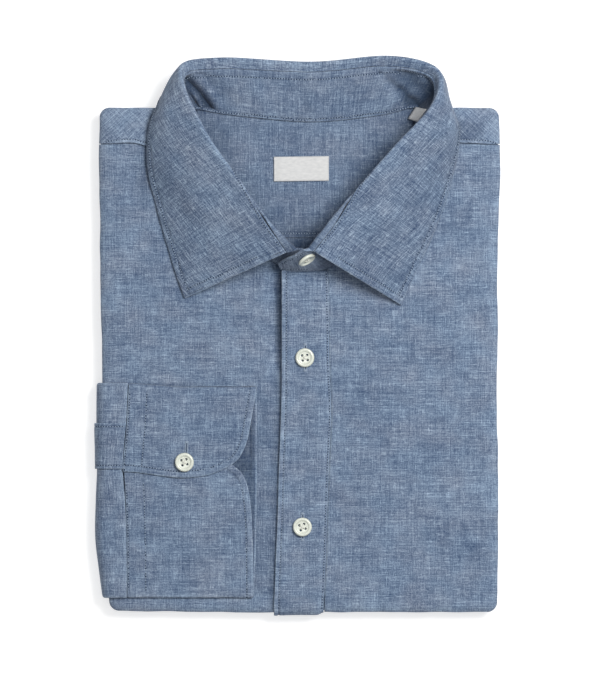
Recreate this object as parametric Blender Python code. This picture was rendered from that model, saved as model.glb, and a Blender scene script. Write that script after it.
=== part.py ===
"""Chambray shirt folded flat: fronts on top, collar standing, one cuff laid on the front.

World frame: +X across the shirt, +Y towards the collar, +Z up from the surface it lies on.
The origin is on that surface, under the shirt's middle. Sizes below are in millimetres.
"""
import bpy
import bmesh
import math
from collections import namedtuple
from mathutils import Matrix, Vector

MM = 0.001

# ---------------------------------------------------------------- driving sizes
SEAM_GAP = 0.3
CLOTH = 1.2
STAND_CLOTH = 1.6
LEAF_CLOTH = 1.3
LABEL_CLOTH = 1.0
LAYER = CLOTH + SEAM_GAP
NECK_CLEAR = 1.1

# Move of the whole shirt that brings the middle of its box onto the origin.
CENTRE_SHIFT_X = 0.45
CENTRE_SHIFT_Y = 0.24

STACK_MIDDLE = 15.4
STACK_FOOT_DROP = 1.2
STACK_CROWN = 0.8
STACK_HALF_WIDTH = 119.0

TOP_EDGE_Y = 136.6
FOOT_EDGE_Y = -165.9
CORNER_RADIUS = 6.0
ROLL_REACH = 10.0
TOP_LOBE = 5.0
LOWER_LOBE_INSETS = (0.9, 2.0, 1.2, 2.4)

# Side folds of the stack: its left and right edge at each height up the shirt.
SideRow = namedtuple("SideRow", "y left right")
SIDE_ROWS = (
    SideRow(128.0, -118.0, 120.8),
    SideRow(105.0, -118.4, 121.8),
    SideRow(70.0, -117.7, 120.9),
    SideRow(38.0, -117.5, 119.8),
    SideRow(9.0, -117.4, 120.8),
    SideRow(-36.0, -117.2, 119.6),
    SideRow(-75.0, -116.4, 120.6),
    SideRow(-125.0, -115.0, 121.0),
    SideRow(-163.0, -113.3, 120.3),
)

# Roll of the outermost fold: how far in from the edge, and how far down the lobe.
RollRow = namedtuple("RollRow", "inset drop")
FRONT_ROLL = (
    RollRow(5.5, 0.03),
    RollRow(2.6, 0.14),
    RollRow(0.8, 0.32),
    RollRow(0.0, 0.55),
    RollRow(0.7, 0.80),
    RollRow(2.6, 0.95),
    RollRow(8.0, 1.0),
)

# Core's top lobe, inside the outermost fold: how far in, and how far down the lobe.
CORE_ROLL = (
    RollRow(6.2, 0.10),
    RollRow(3.7, 0.32),
    RollRow(2.4, 0.60),
    RollRow(3.4, 0.90),
    RollRow(10.6, 1.0),
)

# Placket band: its two edges at each height up the shirt.
BandRow = namedtuple("BandRow", "y left right")
BAND_ROWS = (
    BandRow(38.6, -9.4, 18.5),
    BandRow(-18.0, -9.4, 19.4),
    BandRow(-47.0, -9.8, 20.5),
    BandRow(-79.0, -11.1, 19.1),
    BandRow(-112.0, -12.0, 17.9),
    BandRow(-133.0, -12.9, 17.3),
    BandRow(-166.0, -14.0, 15.8),
)
BAND_ACROSS = (0.0, 0.3, 0.6, 0.84, 0.92, 1.0)
BAND_LIFT = LAYER + 0.15
BAND_CLEAR = 0.45
UNDER_LAP = 5.6
BAND_STEP = 4.2

# Yoke's front seam: its height up the shirt at each place across it.
SeamRow = namedtuple("SeamRow", "x y")
YOKE_SEAM = (
    SeamRow(-119.0, 111.6),
    SeamRow(-113.0, 114.0),
    SeamRow(-99.0, 115.0),
    SeamRow(-88.0, 112.8),
    SeamRow(90.0, 115.0),
    SeamRow(114.0, 114.2),
    SeamRow(122.0, 112.0),
)
YOKE_INNER_SEAM_Y = 58.0
BACK_INSIDE_FOOT_Y = 43.0

# Collar, a row for each section round the neck from the left point to the right one: where
# the stand meets the neck seam and how far over the panels, the ridge the leaf folds over,
# the leaf's outer edge, its bow, the fold's radius, and how far past the ridge its seam lies.
CollarRow = namedtuple(
    "CollarRow",
    "name neck_x neck_y lift ridge_x ridge_y ridge_z edge_x edge_y edge_z bow fold seam")
COLLAR_ROWS = (
    CollarRow("left point", -12, 39, 0.3, -5.0, 52.5, 46.0, -67.5, 21.8, 17.8, 0.0, 1.5, 3.6),
    CollarRow("left front", -26, 53, 0.3, -16.0, 70.2, 46.0, -73.0, 37.0, 17.8, 1.0, 1.5, 3.4),
    CollarRow("left breast", -37, 76, 0.3, -33.0, 94.0, 45.5, -80.5, 62.0, 17.8, 2.0, 1.7, -1.5),
    CollarRow("left side", -47, 101, 0.3, -50.5, 118.0, 43.5, -88.5, 92.0, 17.8, 3.0, 1.9, -4.5),
    CollarRow("left neck", -53, 121, 0.3, -60.5, 137.0, 40.5, -90.0, 115.0, 18.0, 4.0, 2.2, -5.0),
    CollarRow("left turn", -56, 131, 0.3, -67.0, 152.5, 37.0, -87.0, 131.0, 18.6, 4.0, 2.4, -6.0),
    CollarRow("left corner", -55, 134.5, 0.3, -69.5, 166.5, 34.0, -78.0, 145.0, 9.0, 3.0, 2.6, -7.0),
    CollarRow("left back", -42, 132.2, 0.3, -46.0, 173.8, 32.5, -46.0, 147.0, 2.0, 3.0, 2.8, -8.0),
    CollarRow("centre back", 7, 127.8, 0.3, 8.0, 170.5, 31.5, 6.0, 146.0, 2.0, 3.0, 2.8, -8.0),
    CollarRow("right back", 48, 131.5, 0.3, 56.0, 174.8, 34.0, 54.0, 147.0, 2.0, 3.0, 2.8, -8.0),
    CollarRow("right corner", 68, 136, 0.3, 83.5, 167.0, 38.5, 82.0, 147.0, 9.0, 3.0, 2.6, -7.0),
    CollarRow("right turn", 72, 134, 0.3, 88.5, 153.0, 43.0, 94.5, 134.5, 18.6, 3.0, 2.4, -6.0),
    CollarRow("right neck", 70, 122, 0.3, 79.0, 137.0, 45.5, 97.0, 118.0, 18.0, 4.0, 2.2, -5.0),
    CollarRow("right side", 60, 104, 0.3, 60.0, 117.5, 46.0, 91.5, 88.0, 17.8, 3.0, 1.9, -4.5),
    CollarRow("right breast", 46, 80, 0.3, 35.5, 91.0, 46.5, 80.5, 58.0, 17.8, 2.0, 1.7, -1.5),
    CollarRow("right front", 32, 55, 0.3, 18.0, 70.7, 46.5, 70.5, 36.0, 17.8, 1.0, 1.5, 3.4),
    CollarRow("right point", 20, 41.4, 0.3, 8.0, 56.5, 46.5, 62.5, 17.6, 17.8, 0.0, 1.5, 3.6),
)
LEFT_TURN = 5
RIGHT_TURN = 11
COLLAR_SPANS = 3
SEAM_ALLOWANCE = 1.0
COLLAR_SEAM_GAP = 0.5
FOLD_SEAM_GAP = 2.0
FOLD_CLEAR = 4.0
FOLD_STEPS = 4
STAND_STEPS = 2
LEAF_STEPS = 3

# The stand's front ends past the leaf, in the same columns: the hidden under end, then the
# lapped upper end that runs to its rounded tip.
STAND_UNDER_END = (
    CollarRow("under end", 8.0, 41.8, 0.3, 8.0, 53.0, 35.0, -67.5, 21.8, 17.8, 0.0, 0.3, -0.6),
    CollarRow("under top", -1.0, 41.2, 0.3, 1.0, 53.0, 41.0, -67.5, 21.8, 17.8, 0.0, 0.5, -0.9),
    CollarRow("under turn", -7.0, 40.4, 0.3, -2.2, 53.2, 44.0, -67.5, 21.8, 17.8, 0.0, 1.0, 0.2),
)
STAND_UPPER_END = (
    CollarRow("lap turn", 14.5, 39.6, 2.0, 5.2, 54.4, 46.0, 62.5, 17.6, 17.8, 0.0, 1.2, 1.6),
    CollarRow("lap top", 9.0, 39.3, 2.0, 2.4, 52.4, 44.8, 62.5, 17.6, 17.8, 0.0, 0.9, -0.6),
    CollarRow("lap slope", 3.0, 39.2, 2.0, -0.8, 50.2, 41.6, 62.5, 17.6, 17.8, 0.0, 0.6, -1.2),
    CollarRow("lap end", -3.0, 39.0, 2.0, -5.0, 47.6, 36.4, 62.5, 17.6, 17.8, 0.0, 0.4, -0.8),
    CollarRow("lap corner", -7.8, 39.2, 2.0, -9.0, 44.8, 30.0, 62.5, 17.6, 17.8, 0.0, 0.3, -0.6),
    CollarRow("lap tip", -10.1, 39.9, 3.0, -10.8, 42.5, 25.6, 62.5, 17.6, 17.8, 0.0, 0.2, -0.4),
)

# Sleeve end: its left fold and its seam to the cuff at each height up the shirt.
SleeveSide = namedtuple("SleeveSide", "y left seam")
SLEEVE_SIDES = (
    SleeveSide(-27.6, -120.4, -101.4),
    SleeveSide(-50.5, -120.6, -102.4),
    SleeveSide(-79.3, -120.2, -104.6),
    SleeveSide(-100.0, -121.0, -103.2),
    SleeveSide(-121.5, -121.3, -102.4),
    SleeveSide(-141.8, -119.0, -102.2),
    SleeveSide(-157.0, -117.0, -102.2),
)
# Its way from the cuff seam over the side and down: share of the flat run, then how far in
# from the left fold, and how high between the surface and its top.
WrapRow = namedtuple("WrapRow", "flat inset rise")
SLEEVE_WRAP = (
    WrapRow(1.0, 0.0, 1.0),
    WrapRow(0.5, 0.0, 1.0),
    WrapRow(0.0, 5.2, 0.99),
    WrapRow(0.0, 2.2, 0.93),
    WrapRow(0.0, 0.5, 0.80),
    WrapRow(0.0, 0.0, 0.60),
    WrapRow(0.0, 0.0, 0.30),
    WrapRow(0.0, 0.3, 0.10),
    WrapRow(0.0, 1.2, 0.0),
)
SLEEVE_FLAT_INSET = 6.5
SLEEVE_HALF = 1.4
CUFF_GAP = 0.5
SLEEVE_TOP_Y = -29.4
SLEEVE_FOOT_Y = -157.4
SLEEVE_STEPS = 6
GAUNTLET_TOP_Y = -53.0
GAUNTLET_FOOT_Y = -80.5
GAUNTLET_WRAPS = 7
GAUNTLET_CLEAR = 0.25

# Cuff band, from its lower flap's hidden end round the foot fold, the back half and the top
# fold to its upper flap's end: level above the front, the sleeve seam, the free edge.
CuffRow = namedtuple("CuffRow", "y level seam edge")
CUFF_ROWS = (
    CuffRow(-66.5, 2.4, -103.6, -72.0),
    CuffRow(-68.0, 2.4, -103.7, -58.0),
    CuffRow(-72.0, 2.4, -103.9, -47.0),
    CuffRow(-78.5, 2.4, -104.2, -38.3),
    CuffRow(-84.0, 2.4, -103.8, -32.6),
    CuffRow(-94.4, 2.4, -103.2, -28.9),
    CuffRow(-112.0, 2.4, -102.6, -27.1),
    CuffRow(-135.0, 2.4, -102.2, -26.5),
    CuffRow(-153.0, 2.4, -102.0, -26.4),
    CuffRow(-156.5, 2.15, -102.0, -26.4),
    CuffRow(-157.2, 1.65, -102.0, -26.4),
    CuffRow(-156.5, 1.15, -102.0, -26.2),
    CuffRow(-153.0, 0.9, -102.0, -25.8),
    CuffRow(-120.0, 0.9, -102.4, -24.6),
    CuffRow(-80.0, 0.9, -103.4, -24.2),
    CuffRow(-36.0, 0.9, -101.6, -24.2),
    CuffRow(-32.6, 1.15, -101.2, -24.4),
    CuffRow(-31.9, 1.65, -101.2, -24.4),
    CuffRow(-32.6, 2.15, -101.2, -24.5),
    CuffRow(-36.0, 2.45, -101.4, -24.8),
    CuffRow(-46.0, 3.2, -101.9, -26.6),
    CuffRow(-56.0, 4.0, -102.5, -28.4),
    CuffRow(-63.5, 4.0, -103.2, -30.0),
    CuffRow(-70.5, 4.0, -103.9, -32.8),
    CuffRow(-76.6, 4.0, -104.4, -37.4),
    CuffRow(-82.4, 4.0, -104.6, -48.0),
    CuffRow(-85.0, 4.0, -104.6, -58.0),
    CuffRow(-86.2, 4.0, -104.6, -72.0),
)
CUFF_STEPS = 5

BUTTON_RADIUS = 5.7
BUTTON_SIDES = 20
BUTTON_LATHE = (
    (0.0, 1.8), (3.3, 1.8), (3.9, 2.3), (4.8, 2.4), (5.45, 2.0), (5.7, 1.3), (5.3, 0.6),
    (4.2, 0.1), (0.0, 0.0))
BUTTON_HOLE = 1.3
BUTTON_HOLE_SPREAD = 1.5
ButtonRow = namedtuple("ButtonRow", "name x y lift turn")
FLAT_BUTTONS = (
    ButtonRow("front_button_upper", 4.6, -13.8, BAND_LIFT + SEAM_GAP, 0.1),
    ButtonRow("front_button_lower", 3.1, -115.4, BAND_LIFT + SEAM_GAP, 0.3),
    ButtonRow("cuff_button", -67.7, -76.5, 4.0 + CLOTH / 2 + SEAM_GAP, 0.2),
)
COLLAR_BUTTON_SHARE = 0.55
COLLAR_BUTTON_TWIST = 0.5
COLLAR_BUTTON_CLEAR = 0.5

LABEL_LEFT = -14.0
LABEL_RIGHT = 19.0
LABEL_FOOT_Y = 92.2
LABEL_TOP_Y = 107.0
TAG_LOW = 1.5
TAG_HIGH = 11.0
TAG_CLEAR = 1.15

CHAMBRAY = (0.175, 0.235, 0.335, 1.0)
CHAMBRAY_INSIDE = (0.150, 0.205, 0.300, 1.0)
BUTTON_WHITE = (0.80, 0.80, 0.72, 1.0)
LABEL_WHITE = (0.74, 0.74, 0.74, 1.0)


# ---------------------------------------------------------------- helpers
def clear_scene():
    for thing in list(bpy.data.objects):
        bpy.data.objects.remove(thing, do_unlink=True)


def make_material(name, colour, roughness):
    material = bpy.data.materials.new(name)
    material.use_nodes = True
    shader = material.node_tree.nodes["Principled BSDF"]
    shader.inputs["Base Color"].default_value = colour
    shader.inputs["Roughness"].default_value = roughness
    shader.inputs["Metallic"].default_value = 0.0
    return material


def add_object(name, points, faces, material):
    """A smooth object from points in millimetres, its faces turned one way."""
    mesh = bpy.data.meshes.new(name)
    mesh.from_pydata([(x * MM, y * MM, z * MM) for x, y, z in points], [], faces)
    shape = bmesh.new()
    shape.from_mesh(mesh)
    bmesh.ops.recalc_face_normals(shape, faces=shape.faces)
    shape.to_mesh(mesh)
    shape.free()
    mesh.materials.append(material)
    mesh.shade_smooth()
    mesh.set_sharp_from_angle(angle=math.radians(40))
    thing = bpy.data.objects.new(name, mesh)
    bpy.context.collection.objects.link(thing)
    return thing


def add_sheet(name, points, faces, material, thickness, side):
    """An open sheet given a wall. Side -1 keeps its points on the outer face, 0 in mid-wall."""
    thing = add_object(name, points, faces, material)
    first = thing.data.polygons[0]
    if first.normal.z < 0.0:
        thing.data.flip_normals()
    wall = thing.modifiers.new("Wall", "SOLIDIFY")
    wall.thickness = thickness * MM
    wall.offset = side
    wall.use_even_offset = True
    return thing


def read_pairs(pairs, at):
    """Value at a place, read straight between (place, value) pairs."""
    pairs = sorted(pairs)
    if at <= pairs[0][0]:
        return pairs[0][1]
    for (low, low_value), (high, high_value) in zip(pairs, pairs[1:]):
        if at <= high:
            return low_value + (high_value - low_value) * (at - low) / (high - low)
    return pairs[-1][1]


def read_table(rows, key, column, at):
    return read_pairs([(getattr(row, key), getattr(row, column)) for row in rows], at)


def spread(start, end, count):
    """count + 1 even steps from start to end."""
    return [start + (end - start) * i / count for i in range(count + 1)]


def smooth_step(low, high, at):
    part = min(max((at - low) / (high - low), 0.0), 1.0)
    return part * part * (3.0 - 2.0 * part)


def curve_between(before, start, end, after, part):
    """Catmull-Rom value between start and end."""
    slope = end - before
    bend = 2.0 * before - 5.0 * start + 4.0 * end - after
    twist = after - before + 3.0 * (start - end)
    return start + 0.5 * (slope * part + bend * part ** 2 + twist * part ** 3)


def loft_rows(rows, spans):
    """The rows' numbers, smoothly filled in with spans steps from each row to the next."""
    numbers = [[value for value in row if not isinstance(value, str)] for row in rows]
    filled = []
    for i in range(len(numbers) - 1):
        before = numbers[max(i - 1, 0)]
        after = numbers[min(i + 2, len(numbers) - 1)]
        for step in range(spans):
            part = step / spans
            filled.append([curve_between(a, b, c, d, part)
                           for a, b, c, d in zip(before, numbers[i], numbers[i + 1], after)])
    filled.append(numbers[-1])
    return filled


def grid_faces(rows, columns):
    """Quads of a grid whose points run along each row in turn."""
    faces = []
    for i in range(rows - 1):
        for j in range(columns - 1):
            corner = i * columns + j
            faces.append((corner, corner + 1, corner + columns + 1, corner + columns))
    return faces


def strip_faces(first, second):
    """Faces between two lists of point numbers; a repeated number makes a triangle."""
    faces = []
    for i in range(len(first) - 1):
        corners = (first[i], first[i + 1], second[i + 1], second[i])
        faces.append(tuple(dict.fromkeys(corners)))
    return faces


def add_ring(points, faces, last, ring, height):
    """A ring of points at a height, joined to the ring before it."""
    numbers = list(range(len(points), len(points) + len(ring)))
    points.extend((x, y, height(x, y)) for x, y in ring)
    if len(last) > len(numbers):
        numbers.append(numbers[0])
    faces.extend(strip_faces(last, numbers))
    return numbers


# ---------------------------------------------------------------- the stack's form
def stack_top(x, y):
    """Height of the core's top: a little fuller towards the collar and the middle."""
    foot = 1.0 - smooth_step(FOOT_EDGE_Y, 40.0, y)
    crown = STACK_CROWN * (x / STACK_HALF_WIDTH) ** 2
    return STACK_MIDDLE - STACK_FOOT_DROP * foot - crown


def front_top(x, y):
    """Height of the fronts' outer face."""
    return stack_top(x, y) + LAYER


def stack_edge(side, y):
    """The stack's edge on one side, -1 left or 1 right."""
    return read_table(SIDE_ROWS, "y", "left" if side < 0 else "right", y)


def side_points(side, ys, inset):
    return [(stack_edge(side, y) - side * inset, y) for y in ys]


def level_points(edge_y, end, xs, inset):
    return [(x, edge_y - end * inset) for x in xs]


def corner_points(side, end, inset):
    """Three points round a corner, from the side to the foot (end -1) or top (end 1) edge."""
    edge_y = TOP_EDGE_Y if end > 0 else FOOT_EDGE_Y
    radius = max(CORNER_RADIUS - inset, 1.5)
    centre_x = stack_edge(side, edge_y) - side * (inset + radius)
    centre_y = edge_y - end * (inset + radius)
    turns = (0.12, math.pi / 4, math.pi / 2 - 0.12)
    return [(centre_x + side * radius * math.cos(turn), centre_y + end * radius * math.sin(turn))
            for turn in turns]


# ---------------------------------------------------------------- the neck line
def collar_sections():
    return loft_rows(COLLAR_ROWS, COLLAR_SPANS)


def neck_seam(side):
    """The neck seam's front part on one side, as (x, y) from the front up to the shoulder."""
    rows = collar_sections()
    part = rows[:LEFT_TURN * COLLAR_SPANS + 1] if side < 0 else rows[RIGHT_TURN * COLLAR_SPANS:]
    return [(row[0], row[1]) for row in part]


def back_neck_seam():
    rows = collar_sections()
    return [(row[0], row[1]) for row in rows[LEFT_TURN * COLLAR_SPANS:RIGHT_TURN * COLLAR_SPANS + 1]]


def neck_x(side, y):
    return read_pairs([(point[1], point[0]) for point in neck_seam(side)], y)


def neck_y(side, x):
    return read_pairs(neck_seam(side), x)


def yoke_seam_y(x):
    return read_table(YOKE_SEAM, "x", "y", x)


# ---------------------------------------------------------------- fronts, yoke and back
FRONT_SHOULDER_COLUMNS = 3
FRONT_NECK_COLUMNS = 5
FRONT_STEPS = 8
NECK_LEVEL_Y = 100.0
SETTLE_LENGTH = 60.0


def build_front(name, side, material):
    """A front panel: flat on the stack, rolled under at its side and foot."""
    foot_y = FOOT_EDGE_Y + ROLL_REACH
    shoulder_x = neck_x(side, NECK_LEVEL_Y) + side * SEAM_GAP

    def centre_x(y):
        seam = read_table(BAND_ROWS, "y", "right", y)
        return seam - UNDER_LAP if side < 0 else seam + BAND_CLEAR

    def across(y, part):
        outer = stack_edge(side, y) - side * ROLL_REACH
        return outer + (centre_x(y) - outer) * part

    head_x = [across(NECK_LEVEL_Y, 0.0), across(NECK_LEVEL_Y, 1.0)]
    shoulder_part = (shoulder_x - head_x[0]) / (head_x[1] - head_x[0])
    parts = spread(0.0, shoulder_part, FRONT_SHOULDER_COLUMNS)
    parts += spread(shoulder_part, 1.0, FRONT_NECK_COLUMNS)[1:]
    points = []
    for part in parts:
        x = across(NECK_LEVEL_Y, part)
        head_y = yoke_seam_y(x) - SEAM_GAP
        if part >= shoulder_part:
            head_y = min(head_y, neck_y(side, x - side * SEAM_GAP) - SEAM_GAP)
        for y in spread(head_y, foot_y, FRONT_STEPS):
            settled = 1.0 if part == 0.0 else min(1.0, (head_y - y) / SETTLE_LENGTH)
            place = x + (across(y, part) - x) * settled
            points.append((place, y, front_top(place, y)))
    rows = FRONT_STEPS + 1
    faces = grid_faces(len(parts), rows)
    side_numbers = list(range(rows - 1))
    foot_numbers = [column * rows + rows - 1 for column in range(1, len(parts))]
    side_ys = [points[number][1] for number in side_numbers]
    foot_xs = [points[number][0] for number in foot_numbers]
    last = side_numbers + [rows - 1] * 3 + foot_numbers
    for roll in FRONT_ROLL:
        ring = (side_points(side, side_ys, roll.inset) + corner_points(side, -1, roll.inset)
                + level_points(FOOT_EDGE_Y, -1, foot_xs, roll.inset))
        last = add_ring(points, faces, last, ring,
                        lambda x, y: front_top(x, y) - TOP_LOBE * roll.drop)
    return add_sheet(name, points, faces, material, CLOTH, -1)


YOKE_COLUMNS = 4
YOKE_ROWS = 3
STAND_CLEAR = 0.6


def build_yoke_shoulder(name, side, material):
    """The yoke over one shoulder, from its front seam over the stack's top edge."""
    head_y = TOP_EDGE_Y - ROLL_REACH
    points = []
    for i in range(YOKE_COLUMNS + 1):
        for j in range(YOKE_ROWS):
            down = j / (YOKE_ROWS - 1)
            level = head_y + (yoke_seam_y(side * 100.0) - head_y) * down
            inner = neck_x(side, TOP_EDGE_Y if j == 0 else level) + side * SEAM_GAP
            outer = stack_edge(side, level) - side * ROLL_REACH
            x = outer + (inner - outer) * i / YOKE_COLUMNS
            y = head_y + (yoke_seam_y(x) - head_y) * down
            points.append((x, y, front_top(x, y)))
    faces = grid_faces(YOKE_COLUMNS + 1, YOKE_ROWS)
    side_numbers = list(range(YOKE_ROWS - 1, 0, -1))
    top_numbers = [column * YOKE_ROWS for column in range(1, YOKE_COLUMNS + 1)]
    side_ys = [points[number][1] for number in side_numbers]
    top_xs = [points[number][0] for number in top_numbers]
    last = side_numbers + [0] * 3 + top_numbers
    for roll in FRONT_ROLL:
        ring = (side_points(side, side_ys, roll.inset) + corner_points(side, 1, roll.inset)
                + level_points(TOP_EDGE_Y, 1, top_xs, roll.inset))
        last = add_ring(points, faces, last, ring,
                        lambda x, y: front_top(x, y) - TOP_LOBE * roll.drop)
    return add_sheet(name, points, faces, material, CLOTH, -1)


def build_inside_panel(name, head_y, foot_y, rows, columns, material):
    """A panel of the back seen inside the neck, between its two sides of the neck seam."""
    points = []
    head_level = max(head_y(x) for x in (neck_x(-1, TOP_EDGE_Y), neck_x(1, TOP_EDGE_Y)))
    for i in range(rows + 1):
        level = head_level + (foot_y - head_level) * i / rows
        low_x = neck_x(-1, level) + NECK_CLEAR
        high_x = neck_x(1, level) - NECK_CLEAR
        for x in spread(low_x, high_x, columns):
            y = level + (head_y(x) - head_level) * (1.0 - i / rows)
            points.append((x, y, front_top(x, y)))
    return add_sheet(name, points, grid_faces(rows + 1, columns + 1), material, CLOTH, -1)


def build_yoke_inside(material):
    """The inner yoke, from the back of the neck down to its seam with the back."""
    seam = back_neck_seam()
    foot_y = YOKE_INNER_SEAM_Y + SEAM_GAP
    return build_inside_panel(
        "yoke_inside", lambda x: read_pairs(seam, x) + STAND_CLEAR, foot_y, 7, 8, material)


def build_back_inside(material):
    """The back below the yoke's inner seam, where the fronts part."""
    return build_inside_panel(
        "back_inside", lambda x: YOKE_INNER_SEAM_Y, BACK_INSIDE_FOOT_Y, 2, 4, material)


# ---------------------------------------------------------------- the folded core
CORE_SIDE_STEPS = 8
CORE_LEVEL_STEPS = 6
CORE_FACE_INSET = 12.0
CORE_UNDER_INSET = 7.5


def lower_lobe_rows():
    """Inset and share of the height for each ring of the lower lobes, from the top down."""
    rows = [(CORE_ROLL[-1].inset, 1.0)]
    lobes = len(LOWER_LOBE_INSETS)
    for i, inset in enumerate(LOWER_LOBE_INSETS):
        high = 1.0 - i / lobes
        rows.append((inset + 1.4, high - 0.1 / lobes))
        rows.append((inset, high - 0.5 / lobes))
        if i < lobes - 1:
            rows.append((inset + 3.4, high - 0.98 / lobes))
        else:
            rows.append((inset + 1.6, high - 0.92 / lobes))
    rows.append((CORE_UNDER_INSET, 0.0))
    return rows


def build_core(material):
    """The folded layers under the fronts: one rounded solid, lobed at its edges."""
    reach = CORE_FACE_INSET + 1.0
    side_ys = spread(TOP_EDGE_Y - reach, FOOT_EDGE_Y + reach, CORE_SIDE_STEPS)
    level_xs = spread(stack_edge(-1, 0.0) + reach, stack_edge(1, 0.0) - reach, CORE_LEVEL_STEPS)

    def ring(inset):
        return (side_points(-1, side_ys, inset) + corner_points(-1, -1, inset)
                + level_points(FOOT_EDGE_Y, -1, level_xs, inset) + corner_points(1, -1, inset)[::-1]
                + side_points(1, side_ys[::-1], inset) + corner_points(1, 1, inset)
                + level_points(TOP_EDGE_Y, 1, level_xs[::-1], inset)
                + corner_points(-1, 1, inset)[::-1])

    ys = [TOP_EDGE_Y - CORE_FACE_INSET] + side_ys + [FOOT_EDGE_Y + CORE_FACE_INSET]
    columns = len(level_xs) + 2
    rows = len(ys)
    points = []
    for i in range(columns):
        for y in ys:
            if i == 0:
                x = stack_edge(-1, y) + CORE_FACE_INSET
            elif i == columns - 1:
                x = stack_edge(1, y) - CORE_FACE_INSET
            else:
                x = level_xs[i - 1]
            points.append((x, y, stack_top(x, y)))
    faces = grid_faces(columns, rows)
    end = (columns - 1) * rows
    left = list(range(1, rows - 1))
    foot = [column * rows + rows - 1 for column in range(1, columns - 1)]
    right = list(range(end + rows - 2, end, -1))
    top = [column * rows for column in range(columns - 2, 0, -1)]
    last = (left + [rows - 1] * 3 + foot + [end + rows - 1] * 3
            + right + [end] * 3 + top + [0] * 3 + left[:1])
    lobe = TOP_LOBE - 2 * LAYER
    for roll in CORE_ROLL:
        last = add_ring(points, faces, last, ring(roll.inset),
                        lambda x, y: stack_top(x, y) - lobe * roll.drop)
    for inset, share in lower_lobe_rows():
        last = add_ring(points, faces, last, ring(inset),
                        lambda x, y: share * (front_top(x, y) - TOP_LOBE - SEAM_GAP))
    faces.append(tuple(last[:-1]))
    return add_object("folded_core", points, faces, material)


# ---------------------------------------------------------------- placket band
BAND_STEPS = 8
BAND_ROLLS = 5


def build_placket_band(material):
    """The band over the left front, its right edge stepping down to the right front."""
    points = []

    def place(y, part):
        low = read_table(BAND_ROWS, "y", "left", y)
        high = read_table(BAND_ROWS, "y", "right", y)
        x = low + (high - low) * part
        return x, BAND_LIFT * (1.0 - smooth_step(high - BAND_STEP, high - 0.5, x))

    for y in spread(BAND_ROWS[0].y, FOOT_EDGE_Y + ROLL_REACH, BAND_STEPS):
        for part in BAND_ACROSS:
            x, lift = place(y, part)
            points.append((x, y, front_top(x, y) + lift))
    for roll in FRONT_ROLL[:BAND_ROLLS]:
        turn = math.pi / 2 * min(1.0, roll.drop / FRONT_ROLL[BAND_ROLLS - 2].drop)
        for part in BAND_ACROSS:
            x, lift = place(FOOT_EDGE_Y, part)
            y = FOOT_EDGE_Y + roll.inset - lift * math.sin(turn)
            height = front_top(x, FOOT_EDGE_Y + roll.inset) - TOP_LOBE * roll.drop
            points.append((x, y, height + lift * math.cos(turn)))
    columns = len(BAND_ACROSS)
    faces = grid_faces(len(points) // columns, columns)
    return add_sheet("placket_band", points, faces, material, CLOTH, -1)


# ---------------------------------------------------------------- collar
STAND_RUN_POINTS = 6
FOLD_RUN_POINTS = 8
LEAF_RUN_POINTS = 10


def fold_arc(ridge, rise, fall, radius):
    """Points round the fold: an arc of the given radius set under the ridge."""
    half = (-rise).angle(fall) / 2
    reach = radius / math.tan(half)
    centre = ridge + (fall - rise).normalized() * (radius / math.sin(half))
    first = ridge - rise * reach - centre
    last = ridge + fall * reach - centre
    return [centre + first.slerp(last, part) for part in spread(0.0, 1.0, FOLD_RUN_POINTS)]


def stand_foot(x, y, top, lift):
    """The stand's foot over the neck seam, clear of the panels by its own lean."""
    rise = Vector((top[0] - x, top[1] - y, top[2] - front_top(x, y))).normalized()
    level = math.hypot(rise.x, rise.y)
    return Vector((x, y, front_top(x, y) + lift + STAND_CLOTH / 2 * level))


def collar_path(row):
    """A section's path from the neck seam to the leaf's edge, its lengths and fold's middle."""
    nx, ny, lift, rx, ry, rz, ex, ey, ez, bow, radius, seam = row
    ridge = Vector((rx, ry, rz))
    edge = Vector((ex, ey, ez))
    neck = stand_foot(nx, ny, ridge, lift)
    rise = (ridge - neck).normalized()
    fall = (edge - ridge).normalized()
    outward = (rise - fall * rise.dot(fall)).normalized()
    arc = fold_arc(ridge, rise, fall, radius)
    path = [neck.lerp(arc[0], i / STAND_RUN_POINTS) for i in range(STAND_RUN_POINTS)] + arc
    for part in spread(0.0, 1.0, LEAF_RUN_POINTS)[1:]:
        path.append(arc[-1].lerp(edge, part) + outward * (bow * math.sin(math.pi * part)))
    lengths = [0.0]
    for a, b in zip(path, path[1:]):
        lengths.append(lengths[-1] + (b - a).length)
    return path, lengths, lengths[STAND_RUN_POINTS + FOLD_RUN_POINTS // 2]


def collar_marks(row):
    """Lengths along a section's path of the stand's points, then of the leaf's."""
    path, lengths, middle = collar_path(row)
    reach = math.pi / 2 * row[-2]
    seam = middle + row[-1]
    near = max(0.0, 1.0 - abs(row[-1]) / FOLD_CLEAR)
    gap = COLLAR_SEAM_GAP + (FOLD_SEAM_GAP - COLLAR_SEAM_GAP) * near
    end = seam - gap / 2
    start = seam + gap / 2
    knee = min(middle - reach, end - FOLD_CLEAR)
    stand = spread(0.0, knee, STAND_STEPS)
    stand += spread(knee, end - SEAM_ALLOWANCE, FOLD_STEPS)[1:] + [end]
    knee = max(middle + reach, start + FOLD_CLEAR)
    leaf = [start] + spread(start + SEAM_ALLOWANCE, knee, FOLD_STEPS)
    leaf += spread(knee, lengths[-1], LEAF_STEPS)[1:]
    return stand, leaf


def walk(path, lengths, at):
    """The point a given length along a path."""
    for i in range(1, len(lengths)):
        if at <= lengths[i]:
            return path[i - 1].lerp(path[i], (at - lengths[i - 1]) / (lengths[i] - lengths[i - 1]))
    return path[-1]


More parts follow.
